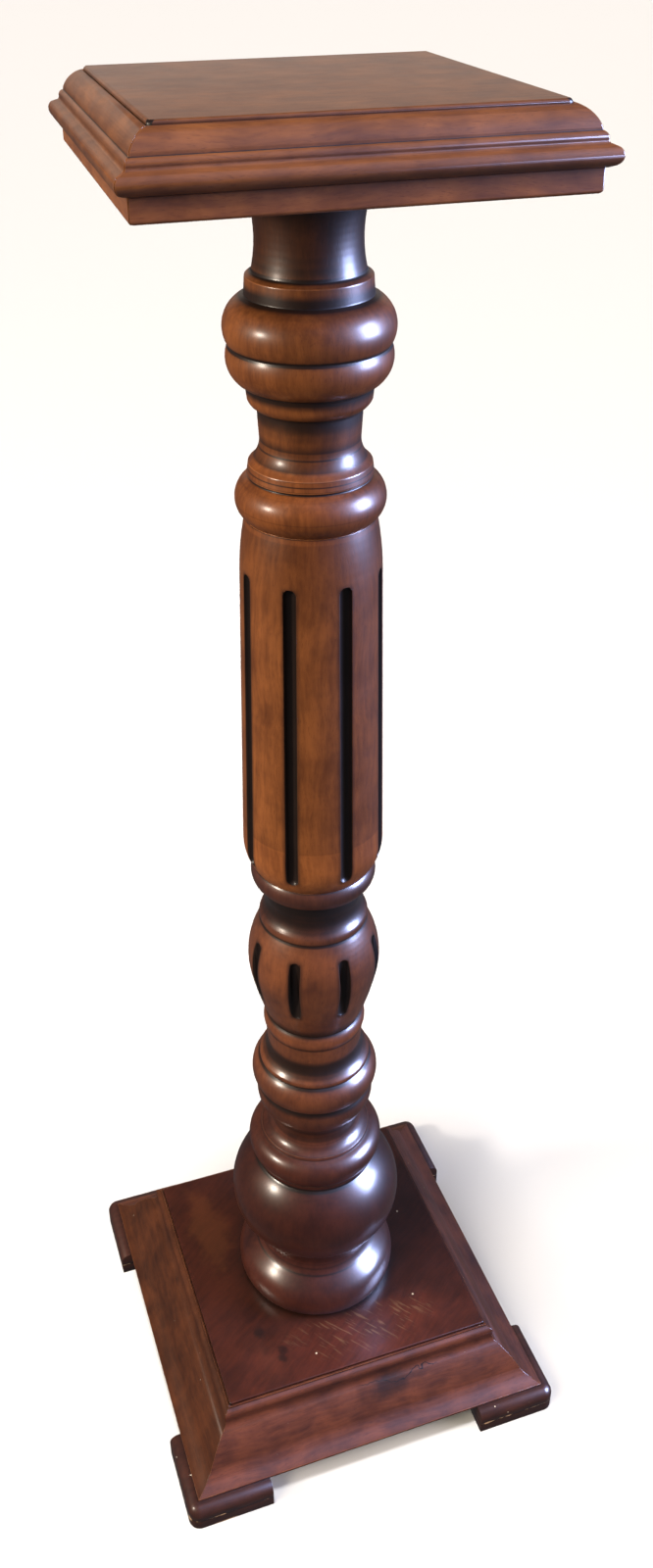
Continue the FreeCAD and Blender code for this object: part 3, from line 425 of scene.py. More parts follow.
def radius_at(outline, height):
    """The radius of a turned outline at a height, between its points or at its ends."""
    after = bisect_left(outline, (height, 0.0))
    if after == 0:
        return outline[0][1]
    if after == len(outline):
        return outline[-1][1]
    (low, first), (high, second) = outline[after - 1], outline[after]
    share = (height - low) / max(high - low, MERGE * MERGE)
    return first + share * (second - first)


def stand_out(outline, height, steps):
    """How far the outline stands out, on average, these steps away from a height."""
    reaches = [radius_at(outline, height + step) for step in steps]
    return sum(reaches) / len(reaches) - radius_at(outline, height)


def shade(piece):
    pick(piece)
    bpy.ops.object.shade_smooth_by_angle(angle=SMOOTH_ANGLE)


def finish_piece(piece, node, materials):
    """Gives a piece its materials and puts it in its CAD node's place."""
    for material in materials:
        piece.data.materials.append(material)
    shade(piece)
    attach(piece, BODY)
    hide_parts(node)


def softened(node, width, materials):
    """A CAD piece with its flat parts made whole and its arrises rubbed round."""
    piece = copy_of(node, node + "_finished")
    finish_piece(piece, node, materials)
    with editing(piece, "EDGE") as mesh:
        bpy.ops.mesh.dissolve_limited(angle_limit=FLAT_ANGLE)
        soften_corners(mesh, 1, width, ARRIS)
        if len(materials) > HOLLOW:
            soften_corners(mesh, -1, width, HOLLOW)
    keep_inside(piece, node)
    shade(piece)


# ================================================================ node tools
def add_node(tree, kind, settings=None, **inputs):
    """A shader node with its settings, and each input given a value or fed by a socket."""
    node = tree.nodes.new("ShaderNode" + kind)
    for key, value in (settings or {}).items():
        setattr(node, key, value)
    for key, value in inputs.items():
        feed(tree, node.inputs[key.replace("_", " ")], value)
    return node


def feed(tree, socket, value):
    if isinstance(value, bpy.types.NodeSocket):
        tree.links.new(value, socket)
    else:
        socket.default_value = value


def maths(tree, operation, *values):
    node = tree.nodes.new("ShaderNodeMath")
    node.operation = operation
    for socket, value in zip(node.inputs, values):
        feed(tree, socket, value)
    return node.outputs[0]


def vectors(tree, operation, first, second):
    node = tree.nodes.new("ShaderNodeVectorMath")
    node.operation = operation
    feed(tree, node.inputs[0], first)
    feed(tree, node.inputs[1], second)
    return node.outputs["Vector"]


def noise(tree, kind, place):
    """The value of one of the named noises at a place."""
    return add_node(tree, "TexNoise", Vector=place, **NOISES[kind]).outputs["Fac"]


def swing(tree, value, strength):
    """How far a value is from a half, times a strength."""
    return maths(tree, "MULTIPLY", maths(tree, "SUBTRACT", value, 0.5), strength)


def blend_colours(tree, share, first, second, way="MIX"):
    """A colour between two, by a share."""
    node = tree.nodes.new("ShaderNodeMix")
    node.data_type = "RGBA"
    node.blend_type = way
    for index, value in ((0, share), (6, first), (7, second)):
        feed(tree, node.inputs[index], value)
    return node.outputs[2]


def soft_step(tree, value, low, high):
    """0 at low, 1 at high, and a smooth rise or fall between them."""
    node = tree.nodes.new("ShaderNodeMapRange")
    node.interpolation_type = "SMOOTHSTEP"
    sockets = node.inputs
    if low <= high:
        limits = (low, high, 0.0, 1.0)
    else:
        limits = (high, low, 1.0, 0.0)
    feed(tree, sockets[0], value)
    for socket, limit in zip(sockets[1:5], limits):
        socket.default_value = limit
    return node.outputs[0]


def rgba(colour):
    return (*colour, 1.0)


def scaled(colour, share):
    return tuple(share * part for part in colour)


def millimetres(*values):
    return tuple(value * MM for value in values)


def new_group(name, inputs, outputs):
    """A shader node group with named sockets, and its input and output nodes."""
    tree = bpy.data.node_groups.new(name, "ShaderNodeTree")
    for way, sockets in (("INPUT", inputs), ("OUTPUT", outputs)):
        for socket_name, kind in sockets:
            tree.interface.new_socket(
                name=socket_name, in_out=way, socket_type="NodeSocket" + kind)
    return tree, tree.nodes.new("NodeGroupInput"), tree.nodes.new("NodeGroupOutput")


# ================================================================ node groups
def wood_figure_group(name):
    """Cross mottle, streaks and pores; the streaks are long where Grain squeezes the place."""
    tree, start, end = new_group(
        name,
        [("Place", "Vector"), ("Grain", "Vector"), ("Light", "Color"), ("Dark", "Color"),
         ("Mottle", "Float"), ("Streak", "Float")],
        [("Color", "Color"), ("Height", "Float")])
    place, dark = start.outputs["Place"], start.outputs["Dark"]
    drift = add_node(tree, "TexNoise", Vector=place, **NOISES["drift"]).outputs["Color"]
    drift = add_node(tree, "VectorMath", {"operation": "SCALE"}, Vector=drift, Scale=DRIFT_REACH)
    bent = vectors(tree, "ADD", place, drift.outputs["Vector"])
    grained = vectors(tree, "MULTIPLY", bent, start.outputs["Grain"])
    mottle = swing(tree, noise(tree, "mottle", bent), start.outputs["Mottle"])
    streak_noise = noise(tree, "streak", grained)
    streak = swing(tree, streak_noise, start.outputs["Streak"])
    pores = soft_step(tree, noise(tree, "pore", grained), *PORE_EDGE)
    share = maths(tree, "ADD", maths(tree, "ADD", mottle, streak), 0.5)
    colour = blend_colours(tree, soft_step(tree, share, 0.0, 1.0), dark, start.outputs["Light"])
    colour = blend_colours(tree, maths(tree, "MULTIPLY", pores, PORE_DARKNESS), colour, dark)
    height = maths(tree, "SUBTRACT", maths(tree, "MULTIPLY", streak_noise, STREAK_RELIEF), pores)
    feed(tree, end.inputs["Color"], colour)
    feed(tree, end.inputs["Height"], height)
    return tree


def hollow_glaze_and_shade_group(name):
    """Darkens hollows by how closed they are: soft painted shade from far, and nearly black glaze,
    partly painted shade, in the creases.
    """
    tree, start, end = new_group(
        name,
        [("Color", "Color"), ("Glaze", "Color"), ("Openness", "Float"), ("Strength", "Float")],
        [("Color", "Color")])
    closed = maths(tree, "SUBTRACT", 1.0, start.outputs["Openness"])
    soft_shade = maths(tree, "MULTIPLY", soft_step(tree, closed, *SOFT_SHADE_EDGE),
                 SOFT_SHADE_STRENGTH)
    tight = soft_step(tree, closed, *TIGHT_GLAZE_AND_SHADE_EDGE)
    mask = maths(tree, "MULTIPLY", maths(tree, "MAXIMUM", soft_shade, tight), start.outputs["Strength"])
    feed(tree, end.inputs["Color"],
         blend_colours(tree, mask, start.outputs["Color"], start.outputs["Glaze"]))
    return tree


def patch_group(name):
    """A soft-edged, ragged patch round a place, for stains, spots, chips, rubbed areas, and painted
    light and a painted glow on the base panel.
    """
    tree, start, end = new_group(
        name,
        [("Place", "Vector"), ("Size", "Vector"), ("Raggedness", "Float"), ("Scale", "Float")],
        [("Mask", "Float")])
    where = add_node(tree, "TexCoord").outputs["Object"]
    ragged = add_node(tree, "TexNoise", Vector=where, Scale=start.outputs["Scale"], Detail=4.0,
                      Roughness=0.6).outputs["Fac"]
    apart = vectors(tree, "SUBTRACT", where, start.outputs["Place"])
    share = vectors(tree, "DIVIDE", apart, start.outputs["Size"])
    reach = add_node(tree, "VectorMath", {"operation": "LENGTH"}, Vector=share).outputs["Value"]
    reach = maths(tree, "ADD", reach, swing(tree, ragged, start.outputs["Raggedness"]))
    feed(tree, end.inputs["Mask"], soft_step(tree, reach, *PATCH_EDGE))
    return tree


def flute_shade_group(name):
    """Dark glaze that spreads beside the flutes, between two heights."""
    tree, start, end = new_group(
        name,
        [("Count", "Float"), ("Phase", "Float"), ("Low", "Float"), ("High", "Float")],
        [("Mask", "Float")])
    where = add_node(tree, "TexCoord").outputs["Object"]
    x, y, z = add_node(tree, "SeparateXYZ", Vector=where).outputs
    back = maths(tree, "MULTIPLY", y, -1.0)
    angle = maths(tree, "SUBTRACT", maths(tree, "ARCTAN2", x, back), start.outputs["Phase"])
    turns = maths(tree, "DIVIDE", maths(tree, "MULTIPLY", angle, start.outputs["Count"]), math.tau)
    near = maths(tree, "ABSOLUTE", maths(tree, "SUBTRACT", turns, maths(tree, "ROUND", turns)))
    beside = soft_step(tree, near, *FLUTE_SHADE_EDGE)
    above = maths(tree, "SUBTRACT", z, start.outputs["Low"])
    below = maths(tree, "SUBTRACT", start.outputs["High"], z)
    within = soft_step(tree, maths(tree, "MINIMUM", above, below),
                       -FLUTE_SHADE_END, FLUTE_SHADE_END)
    feed(tree, end.inputs["Mask"], maths(tree, "MULTIPLY", beside, within))
    return tree


GROUP_MAKERS = {"Wood figure": wood_figure_group, "Hollow glaze": hollow_glaze_and_shade_group,
                "Ragged patch": patch_group, "Flute shade": flute_shade_group}


def use_group(tree, name, **inputs):
    """A node for one of the shared groups, which is built when it is first used."""
    group = bpy.data.node_groups.get(name) or GROUP_MAKERS[name](name)
    return add_node(tree, "Group", {"node_tree": group}, **inputs)


# ================================================================ woods
class Wood:
    """A finish under construction: its colour so far, and its relief."""

    def __init__(self, name, light, dark, grain=UPRIGHT, turn=0.0, mottle=0.9, streak=0.7):
        self.finish = bpy.context.scene.stand_finish
        self.material = bpy.data.materials.new(name)
        self.material.use_nodes = True
        self.tree = self.material.node_tree
        self.shader = self.tree.nodes["Principled BSDF"]
        self.where = add_node(self.tree, "TexCoord").outputs["Object"]
        turned = add_node(self.tree, "Mapping", {"vector_type": "POINT"}, Vector=self.where,
                          Rotation=(0.0, 0.0, -turn))
        figure = use_group(self.tree, "Wood figure", Place=turned.outputs[0], Grain=grain,
                           Light=rgba(light), Dark=rgba(dark), Mottle=mottle, Streak=streak)
        self.colour = figure.outputs["Color"]
        self.height = figure.outputs["Height"]

    def heights(self):
        return add_node(self.tree, "SeparateXYZ", Vector=self.where).outputs["Z"]

    def tint(self, mask, colour, strength=1.0, way="MIX"):
        """Lays another colour over the wood where a mask says, this strongly."""
        share = maths(self.tree, "MULTIPLY", mask, strength)
        self.colour = blend_colours(self.tree, share, self.colour, rgba(colour), way)

    def age(self, mask, factors, strength=1.0):
        """Multiplies the wood's colour where a mask says: for painted light and shade, and for tones
        of the wood.
        """
        self.tint(mask, factors, strength, "MULTIPLY")

    # Multiplies the colour in steps by height: painted shade, and tones of the wood.
    def shade_and_tint_by_height(self, shade_and_tint_steps):
        height = self.heights()
        for start, full, factors in shade_and_tint_steps:
            self.age(soft_step(self.tree, height, start, full), factors)

    def patch(self, place, size, raggedness=0.8, scale=40.0):
        return use_group(self.tree, "Ragged patch", Place=place, Size=size,
                         Raggedness=raggedness, Scale=scale).outputs["Mask"]

    def glaze(self, reach=9 * MM, strength=0.95):
        """Darkens the hollows by how open the wood is within a reach: painted shade, and glaze in
        the creases.
        """
        openness = add_node(self.tree, "AmbientOcclusion", {"samples": OPENNESS_SAMPLES},
                            Distance=reach)
        node = use_group(self.tree, "Hollow glaze", Color=self.colour,
                         Glaze=rgba(self.finish.glaze), Openness=openness.outputs["AO"],
                         Strength=strength)
        self.colour = node.outputs["Color"]

    def glaze_and_shade_hollows_light_crowns(self):
        """Darkens the marked hollows with glaze and painted shade, and paints a highlight on the
        crowns between them.
        """
        mark = add_node(self.tree, "Attribute", {"attribute_name": HOLLOW_MARK}).outputs["Fac"]
        waver = swing(self.tree, noise(self.tree, "glaze edge", self.where), HOLLOW_AND_CROWN_WAVER)
        mark = maths(self.tree, "ADD", mark, waver)
        # painted highlight on the crowns
        self.age(soft_step(self.tree, mark, *LIT_CROWN_EDGE), CROWN_HIGHLIGHT_TINT, LIT_CROWN_STRENGTH)
        # glaze and painted shade in the hollows
        self.tint(soft_step(self.tree, mark, *HOLLOW_GLAZE_SHADE_EDGE), self.finish.glaze, HOLLOW_GLAZE_SHADE_STRENGTH)

    def flecks(self, rarity=0.80):
        """Scatters small pale chips over the faces."""
        self.tint(soft_step(self.tree, noise(self.tree, "fleck", self.where), rarity,
                            rarity + FLECK_FADE), self.finish.pale_fleck)

    def done(self, roughness=0.45, coat=0.8, coat_roughness=None, bump=0.25):
        """Feeds the shader and returns the material."""
        if coat_roughness is None:
            coat_roughness = self.finish.coat_roughness
        varied = maths(self.tree, "MULTIPLY_ADD", noise(self.tree, "smudge", self.where), SMUDGES,
                       roughness - SMUDGES / 2)
        relief = add_node(self.tree, "Bump", Strength=bump, Distance=RELIEF_DEPTH,
                          Height=self.height)
        feed(self.tree, self.shader.inputs["Base Color"], self.colour)
        feed(self.tree, self.shader.inputs["Roughness"], varied)
        feed(self.tree, self.shader.inputs["Normal"], relief.outputs["Normal"])
        self.shader.inputs["Specular IOR Level"].default_value = SPECULAR_LEVEL
        self.shader.inputs["Coat Weight"].default_value = coat
        self.shader.inputs["Coat Roughness"].default_value = coat_roughness
        return self.material


def rubbed_and_glinting_arris(name, light, dark):
    """Arrises that are lighter in stretches: worn wood where hands and cloths have rubbed them, and
    a painted glint along the edge.
    """
    wood = Wood(name, bpy.context.scene.stand_finish.rubbed, dark, mottle=0.5, streak=0.4)
    rubbing = noise(wood.tree, "rubbing", wood.where)
    wood.tint(soft_step(wood.tree, rubbing, *RUBBED_EDGE), light)
    return wood.done(roughness=0.35, bump=0.1)


def crease_glaze_and_shadow_line(glaze):
    """The material of filled creases and flutes, and of the dark joint and painted shadow line round
    each panel, made once.
    """
    name = "Glazed crease"
    if name not in bpy.data.materials:
        Wood(name, scaled(glaze, 2.2), glaze).done(
            roughness=0.5, coat=0.5, coat_roughness=0.3, bump=0.1)
    return bpy.data.materials[name]


# ================================================================ operators
def settings():
    return bpy.context.scene.stand_sizes, bpy.context.scene.stand_finish


def grain_along(side):
    return ALONG_X if side in ("front", "back") else ALONG_Y


class STAND_OT_turn_column(bpy.types.Operator):
    """Turns the four sections of the column and cuts their flutes"""

    bl_idname = "stand.turn_column"
    bl_label = "Turn the column"

    def execute(self, context):
        sizes, finish = settings()
        crease = crease_glaze_and_shadow_line(finish.glaze)
        lower = self.lower_woods("Lower column", finish) + [crease]
        upper = self.upper_woods("Upper column", finish) + [crease]
        vase = self.lower_woods("Fluted bulb", finish, BULB_FLUTE_ENDS) + [crease]
        self.turned("column_foot", "lower_column_wood", lower, sizes)
        piece = self.turned("column_vase", "lower_column_wood", vase, sizes)
        reaches = (sizes.bulb_flute_reach, sizes.bulb_flute_reach)
        self.cut_flutes(piece, reaches, BULB_FLUTE_ENDS, sizes, crease)
        piece = self.turned("column_shaft", "upper_column_wood", upper, sizes)
        reaches = (sizes.shaft_flute_foot_reach, sizes.shaft_flute_head_reach)
        self.cut_flutes(piece, reaches, SHAFT_FLUTE_ENDS, sizes, crease)
        self.turned("column_capital", "upper_column_wood", upper, sizes)
        return {"FINISHED"}

    def lower_woods(self, name, finish, flute_ends=None):
        wood = Wood(name, finish.lower_light, finish.lower_dark, mottle=1.0, streak=0.5)
        # steps by height: tones of the wood, and painted shade under the shaft
        wood.shade_and_tint_by_height(LOWER_TONE_AND_SHADE_BY_HEIGHT)
        if flute_ends:
            self.shade_flutes(wood, flute_ends)
        # glaze and painted shade in the hollows, and a painted highlight on the crowns
        wood.glaze_and_shade_hollows_light_crowns()
        return [wood.done(coat=1.0),
                rubbed_and_glinting_arris(name + " arris", finish.lower_light, finish.lower_dark)]

    def upper_woods(self, name, finish):
        wood = Wood(name, finish.upper_light, finish.upper_dark, mottle=0.9, streak=0.8)
        # steps by height: painted shade under the top
        wood.shade_and_tint_by_height(UPPER_PAINTED_SHADE_BY_HEIGHT)
        self.shade_flutes(wood, SHAFT_FLUTE_ENDS)
        # glaze and painted shade in the hollows, and a painted highlight on the crowns
        wood.glaze_and_shade_hollows_light_crowns()
        return [wood.done(coat=0.5),
                rubbed_and_glinting_arris(name + " arris", finish.upper_light, finish.upper_dark)]

    def shade_flutes(self, wood, ends):
        sizes, finish = settings()
        shade_of_flutes = use_group(
            wood.tree, "Flute shade", Count=float(sizes.flute_count), Phase=sizes.flute_phase,
            Low=ends[0], High=ends[1])
        wood.tint(shade_of_flutes.outputs["Mask"], finish.glaze, FLUTE_SHADE_STRENGTH)

    def turned(self, node, slot, materials, sizes):
        """A section spun from the outline that its CAD mesh has along +X."""
        piece = copy_of(node, node + "_turned")
        with editing(piece) as mesh:
            bpy.ops.mesh.bisect(plane_co=ORIGIN, plane_no=Y_AXIS, clear_inner=True,
                                clear_outer=True, threshold=MERGE)
            bpy.ops.mesh.select_all(action="SELECT")
            bpy.ops.mesh.bisect(plane_co=ORIGIN, plane_no=X_AXIS, clear_inner=True,
                                threshold=MERGE)
            bpy.ops.mesh.select_all(action="SELECT")
            bpy.ops.mesh.remove_doubles(threshold=MERGE)
            while choose(mesh, "edges", lambda edge: rise(edge) > sizes.ring_spacing):
                bpy.ops.mesh.subdivide(number_cuts=1)
            outline = sorted((z, x) for x, _, z in (vertex.co for vertex in outline_points(mesh)))
            bpy.ops.mesh.select_all(action="SELECT")
            bpy.ops.mesh.spin(steps=sizes.turn_steps, angle=math.tau, center=ORIGIN, axis=Z_AXIS)
            bpy.ops.mesh.select_all(action="SELECT")
            bpy.ops.mesh.remove_doubles(threshold=MERGE)
            bpy.ops.mesh.normals_make_consistent(inside=False)
        finish_piece(piece, node, materials)
        with editing(piece, "EDGE") as mesh:
            soften_corners(mesh, 1, sizes.arris_width, ARRIS)
            soften_corners(mesh, -1, sizes.crease_width, HOLLOW)
        shade(piece)
        self.mark_hollows(piece, outline)
        return piece

    def mark_hollows(self, piece, outline):
        """Marks each point with how far the outline close by stands out beyond it."""
        mark = piece.data.attributes.new(HOLLOW_MARK, "FLOAT", "POINT")
        known = {}
        for index, vertex in enumerate(piece.data.vertices):
            height = round(vertex.co.z, MARK_DIGITS)
            if height not in known:
                crease = stand_out(outline, height, CREASE_REACH) / CREASE_DEPTH
                hollow = stand_out(outline, height, HOLLOW_REACH) / HOLLOW_DEPTH
                known[height] = max(-1.0, min(1.0, max(crease, hollow)))
            mark.data[index].value = known[height]

    def cut_flutes(self, piece, reaches, ends, sizes, crease):
        """Cuts round-ended flutes, whose faces keep the glaze of the cutter."""
        cutters = []
        for k in range(sizes.flute_count):
            angle = sizes.flute_phase + math.tau * k / sizes.flute_count
            out = Vector((math.sin(angle), -math.cos(angle), 0.0))
            cutters.append(self.flute_cutter(out, reaches, ends, sizes.flute_radius))
        pick(*cutters)
        bpy.ops.object.join()
        cutter = bpy.context.active_object
        cutter.data.materials.append(crease)
        pick(piece)
        cut = piece.modifiers.new("Flutes", "BOOLEAN")
        cut.operation = "DIFFERENCE"
        cut.solver = "EXACT"
        cut.material_mode = "TRANSFER"
        cut.object = cutter
        bpy.ops.object.modifier_apply(modifier=cut.name)
        bpy.data.objects.remove(cutter)
        shade(piece)

    def flute_cutter(self, out, reaches, ends, radius):
        """A ball drawn out into a rod, from the flute's lower end to its upper one."""
        low, high = ends[0] + radius, ends[1] - radius
        deselect_all()
        bpy.ops.mesh.primitive_uv_sphere_add(
            segments=CUTTER_STEPS, ring_count=CUTTER_STEPS // 2, radius=radius,
            location=out * reaches[0] + Vector((0, 0, low)))
        cutter = bpy.context.active_object
        bpy.ops.object.transform_apply(location=True, rotation=True, scale=True)
        with editing(cutter) as mesh:
            choose(mesh, "verts", lambda vertex: vertex.co.z > low + MERGE)
            bpy.ops.transform.translate(
                value=out * (reaches[1] - reaches[0]) + Vector((0, 0, high - low)))
        return cutter


class STAND_OT_base(bpy.types.Operator):
    """Finishes the base panel and its four mouldings"""

    bl_idname = "stand.base"
    bl_label = "Finish the base"

    def execute(self, context):
        sizes, finish = settings()
        crease = crease_glaze_and_shadow_line(finish.glaze)
        arris = rubbed_and_glinting_arris("Base arris", finish.base_light, finish.base_dark)
        for side in SIDES:
            softened("base_moulding_" + side, sizes.board_arris,
                     [self.moulding_wood(finish, side), arris, crease])
        # the panel's rounded edge takes the crease material, as its dark joint and a painted shadow
        # line
        softened("base_panel", sizes.panel_joint_shadow_line,
                 [self.panel_wood(finish), crease])
        return {"FINISHED"}

    def moulding_wood(self, finish, side):
        wood = Wood("Base moulding " + side, finish.base_light, finish.base_dark,
                    grain=grain_along(side), mottle=1.1)
        # painted light and shade for the side that the moulding faces
        wood.age(1.0, MOULDING_SIDE_LIGHT[side])
        if side == "front":
            place, size = MOULDING_SMUDGE
            smudge = wood.patch(millimetres(*place), millimetres(*size), raggedness=1.3)
            wood.tint(smudge, finish.glaze, strength=0.65)
            self.crack(wood, finish)
        wood.flecks()
        # painted shade in the hollows and where the moulding meets the panel, with glaze in the
        # creases
        wood.glaze(reach=12 * MM, strength=1.0)
        return wood.done()

    def crack(self, wood, finish):
        """A hairline that runs, slightly wavering, along part of the front moulding."""
        tree = wood.tree
        x, _, z = add_node(tree, "SeparateXYZ", Vector=wood.where).outputs
        course = maths(tree, "MULTIPLY_ADD", noise(tree, "crack", wood.where), CRACK_SWAY,
                       CRACK_HEIGHT)
        near = maths(tree, "ABSOLUTE", maths(tree, "SUBTRACT", z, course))
        line = soft_step(tree, near, *CRACK_EDGE)
        aside = maths(tree, "ABSOLUTE", maths(tree, "SUBTRACT", x, CRACK_MIDDLE))
        wood.tint(maths(tree, "MULTIPLY", line, soft_step(tree, aside, *CRACK_END)), finish.glaze)

    def panel_wood(self, finish):
        wood = Wood("Base panel", finish.panel_light, finish.panel_dark, grain=ALONG_X,
                    turn=PANEL_GRAIN_TURN, mottle=0.8, streak=0.7)
        # painted light on the panel's front strip
        wood.age(self.panel_patch(wood, *PANEL_FRONT_LIGHT), PANEL_FRONT_LIGHT_TINT)
        drawn = add_node(wood.tree, "Mapping", {"vector_type": "TEXTURE"}, Vector=wood.where,
                         Rotation=(0.0, 0.0, STROKE_TURN), Scale=(STROKE_LENGTH, 1.0, 1.0))
        strokes = soft_step(wood.tree, noise(wood.tree, "stroke", drawn.outputs[0]), *STROKE_EDGE)
        brushed = self.panel_patch(wood, *PANEL_STROKES, raggedness=1.2)
        wood.tint(maths(wood.tree, "MULTIPLY", strokes, brushed), finish.raw, strength=0.16)
        # a painted warm glow beside the ball, in the colour of the lit column
        amber_glow = self.panel_patch(wood, *PANEL_AMBER_GLOW, raggedness=1.8, scale=60.0)
        wood.tint(amber_glow, finish.upper_light, strength=0.09)
        for place, size in PANEL_STAINS:
            stain = self.panel_patch(wood, place, (size, size, size), raggedness=1.2, scale=160.0)
            wood.tint(stain, finish.glaze, strength=0.7)
        for place in PANEL_SPECKS:
            speck = self.panel_patch(wood, place, SPECK_SIZE, raggedness=0.6, scale=900.0)
            wood.tint(speck, finish.pale_fleck)
        # painted shade over the panel round the column and along the mouldings
        wood.glaze(reach=45 * MM, strength=0.8)
        return wood.done(roughness=0.38)

    def panel_patch(self, wood, place, size, **look):
        """A patch on the panel's face, by millimetres from the panel's middle."""
        return wood.patch((*millimetres(*place), PANEL_TOP), millimetres(*size), **look)


class STAND_OT_feet(bpy.types.Operator):
    """Finishes the four feet, each a pad under a rounded upper piece"""

    bl_idname = "stand.feet"
    bl_label = "Finish the feet"

    def execute(self, context):
        sizes, finish = settings()
        crease = crease_glaze_and_shadow_line(finish.glaze)
        woods = [self.foot_wood(name, finish) for name in ("Feet", "Foot arris")]
        for corner in CORNERS:
            for part in ("foot_upper_", "foot_pad_"):
                softened(part + corner, sizes.board_arris, [*woods, crease])
        return {"FINISHED"}

    def foot_wood(self, name, finish):
        """The feet's wood: a dark joint above the pads, broken by pale dashes, and chips."""
        wood = Wood(name, finish.foot_light, finish.foot_dark, grain=ALONG_X)
        tree = wood.tree
        # painted shade in the hollows of the feet, with glaze in their creases
        wood.glaze()
        near = maths(tree, "ABSOLUTE", maths(tree, "SUBTRACT", wood.heights(), PAD_TOP))
        wood.tint(soft_step(tree, near, *JOINT_EDGE), finish.glaze)
        broken = maths(tree, "MULTIPLY_ADD", noise(tree, "joint", wood.where), DASH_SWAY, near)
        wood.tint(soft_step(tree, broken, *DASH_EDGE), finish.raw)
        for place, size in FOOT_CHIPS:
            chip = wood.patch(millimetres(*place), millimetres(*size), raggedness=1.3,
                              scale=150.0)
            wood.tint(chip, finish.raw)
        wood.flecks(rarity=0.78)
        return wood.done()


class STAND_OT_top(bpy.types.Operator):
    """Finishes the top panel, its four mouldings and the aprons under them"""

    bl_idname = "stand.top"
    bl_label = "Finish the top"

    def execute(self, context):
        sizes, finish = settings()
        crease = crease_glaze_and_shadow_line(finish.glaze)
        arris = rubbed_and_glinting_arris("Top arris", finish.top_light, finish.top_dark)
        for side in SIDES:
            for part, painted_light in TOP_PAINTED_LIGHT.items():
                # the apron's lift is painted light
                wood = Wood("Top " + part + " " + side, scaled(finish.top_light, painted_light),
                            scaled(finish.top_dark, painted_light), grain=grain_along(side), turn=TOP_TURN)
                # painted shade in the hollows of the top, with glaze in its creases
                wood.glaze()
                softened("top_" + part + "_" + side, sizes.board_arris,
                         [wood.done(), arris, crease])
        panel = Wood("Top panel", finish.top_light, finish.top_dark, grain=ALONG_X, turn=TOP_TURN)
        # painted shade round the edge of the top panel
        panel.glaze(reach=5 * MM)
        # the top panel's rounded edge takes the crease material, as its dark joint and a painted
        # shadow line
        softened("top_panel", sizes.panel_joint_shadow_line,
                 [panel.done(roughness=0.4), crease])
        return {"FINISHED"}


class STAND_OT_inside(bpy.types.Operator):
    """Gives the hidden boards and blocks bare softwood and the fixings dull steel"""

    bl_idname = "stand.inside"
    bl_label = "Finish the inside"

    def execute(self, context):
        _, finish = settings()
        for names, material in ((HIDDEN_BOARDS, self.bare_softwood(finish.softwood)),
                                (FIXINGS, self.dull_steel(finish.steel))):
            for name in names:
                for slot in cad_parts[name].material_slots:
                    slot.link = "OBJECT"
                    slot.material = material
        return {"FINISHED"}

    def bare_softwood(self, colour):
        wood = Wood("Bare softwood", colour, scaled(colour, 0.55), grain=ALONG_X, mottle=0.8,
                    streak=1.4)
        return wood.done(roughness=0.75, coat=0.0, coat_roughness=0.5, bump=0.5)

    def dull_steel(self, colour):
        """Steel that is clouded and drawn as the woods are, and not lacquered."""
        steel = Wood("Dull steel", colour, scaled(colour, 0.5), mottle=1.0, streak=0.5)
        steel.shader.inputs["Metallic"].default_value = 1.0
        return steel.done(roughness=0.45, coat=0.0, coat_roughness=0.5, bump=0.15)


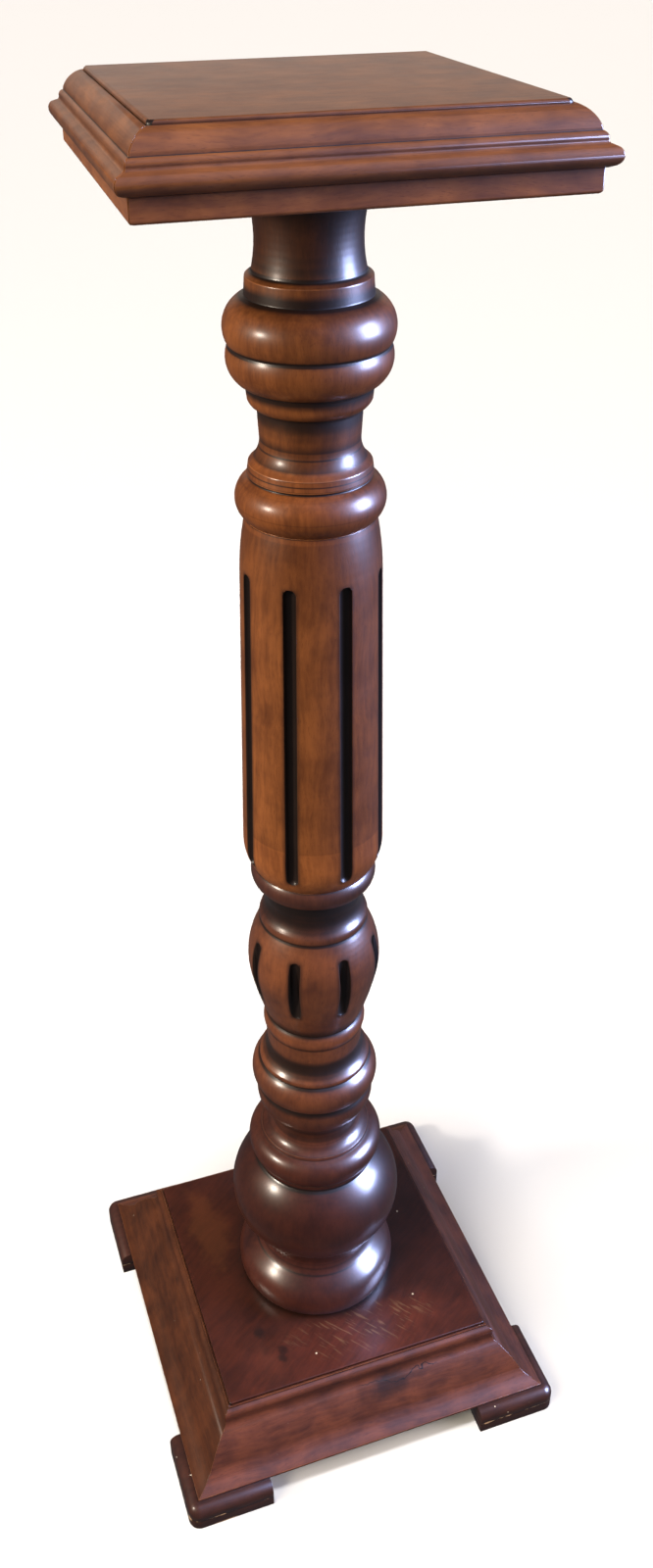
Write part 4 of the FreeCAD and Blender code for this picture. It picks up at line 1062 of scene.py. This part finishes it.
class STAND_OT_stage(bpy.types.Operator):
    """Lays the pale floor, hangs the lights and sets the camera"""

    bl_idname = "stand.stage"
    bl_label = "Set the stage"

    def execute(self, context):
        stage = context.scene.stand_stage
        self.lay_floor(stage)
        self.light(context, stage)
        self.set_camera(context, stage)
        return {"FINISHED"}

    def lay_floor(self, stage):
        deselect_all()
        bpy.ops.mesh.primitive_plane_add(size=stage.floor_size, location=(0, 0, FLOOR_Z))
        floor = bpy.context.active_object
        floor.name = "floor"
        bpy.ops.object.transform_apply(location=True)
        material = bpy.data.materials.new("Pale floor")
        material.use_nodes = True
        shader = material.node_tree.nodes["Principled BSDF"]
        shader.inputs["Base Color"].default_value = rgba(stage.floor_colour)
        shader.inputs["Roughness"].default_value = FLOOR_ROUGHNESS
        floor.data.materials.append(material)
        floor.visible_glossy = False
        floor.visible_diffuse = False

    def light(self, context, stage):
        world = bpy.data.worlds.new("Even room light")
        world.use_nodes = True
        background = world.node_tree.nodes["Background"]
        background.inputs["Color"].default_value = rgba(SKY_COLOUR)
        background.inputs["Strength"].default_value = stage.sky_strength
        context.scene.world = world
        for name, towards, spread, colour, setting in FAR_LIGHTS:
            self.far_light(name, towards, spread, colour, getattr(stage, setting))
        for name, angle, distance, height, size, colour, setting, lights_woods in SIDE_LIGHTS:
            holder = self.side_light(name, angle, distance, height, size, colour,
                                     getattr(stage, setting))
            holder.visible_diffuse = lights_woods

    def far_light(self, name, towards, spread, colour, strength):
        """A distant light that shows in no gloss."""
        lamp = bpy.data.lights.new(name, "SUN")
        lamp.energy = strength
        lamp.angle = math.radians(spread)
        lamp.color = colour
        holder = self.hang(lamp, Vector(towards) * FAR_LIGHT_PLACE, Vector(ORIGIN))
        holder.visible_glossy = False

    def side_light(self, name, angle, distance, height, size, colour, power):
        """An area light beside the stand, turned to its middle."""
        lamp = bpy.data.lights.new(name, "AREA")
        lamp.shape = "RECTANGLE"
        lamp.size, lamp.size_y = size
        lamp.color = colour
        lamp.energy = power
        turn = math.radians(angle)
        place = Vector((distance * math.sin(turn), -distance * math.cos(turn), height))
        return self.hang(lamp, place, Vector((0, 0, LIT_HEIGHT)))

    def hang(self, lamp, place, target):
        holder = bpy.data.objects.new(lamp.name, lamp)
        bpy.context.scene.collection.objects.link(holder)
        holder.location = place
        holder.rotation_euler = (target - place).to_track_quat("-Z", "Y").to_euler()
        return holder

    def set_camera(self, context, stage):
        camera = bpy.data.cameras.new("Camera")
        camera.sensor_width = SENSOR_WIDTH
        camera.lens = stage.camera_lens
        camera.shift_x, camera.shift_y = stage.camera_shift
        camera.clip_end = CAMERA_FAR_END
        holder = bpy.data.objects.new("Camera", camera)
        context.scene.collection.objects.link(holder)
        turn = Matrix.Rotation(stage.camera_yaw, 3, "Z")
        turn = turn @ Matrix.Rotation(math.pi / 2 + stage.camera_pitch, 3, "X")
        turn = turn @ Matrix.Rotation(stage.camera_roll, 3, "Z")
        holder.location = stage.camera_place
        holder.rotation_euler = turn.to_euler()
        context.scene.camera = holder
        context.scene.view_settings.view_transform = "Standard"


# ================================================================ panel and registration
OPERATORS = (STAND_OT_stage, STAND_OT_turn_column, STAND_OT_base, STAND_OT_feet, STAND_OT_top,
             STAND_OT_inside)
PROPERTIES = {"stand_sizes": StandSizes, "stand_finish": StandFinish, "stand_stage": StandStage}


class STAND_PT_panel(bpy.types.Panel):
    """Lists the stand's settings and the steps that dress it"""

    bl_idname = "STAND_PT_panel"
    bl_label = "Pedestal column stand"
    bl_space_type = "VIEW_3D"
    bl_region_type = "UI"
    bl_category = "Stand"

    def draw(self, context):
        for operator in OPERATORS:
            self.layout.operator(operator.bl_idname)
        for name, group in PROPERTIES.items():
            box = self.layout.box()
            for field in group.__annotations__:
                box.prop(getattr(context.scene, name), field)


CLASSES = (*PROPERTIES.values(), *OPERATORS, STAND_PT_panel)


def register():
    for one in CLASSES:
        bpy.utils.register_class(one)
    for name, group in PROPERTIES.items():
        setattr(bpy.types.Scene, name, bpy.props.PointerProperty(type=group))


def unregister():
    for name in PROPERTIES:
        delattr(bpy.types.Scene, name)
    for one in reversed(CLASSES):
        bpy.utils.unregister_class(one)


def main():
    register()
    bpy.ops.stand.stage()
    bpy.ops.stand.turn_column()
    bpy.ops.stand.base()
    bpy.ops.stand.feet()
    bpy.ops.stand.top()
    bpy.ops.stand.inside()


if __name__ == "__main__":
    main()
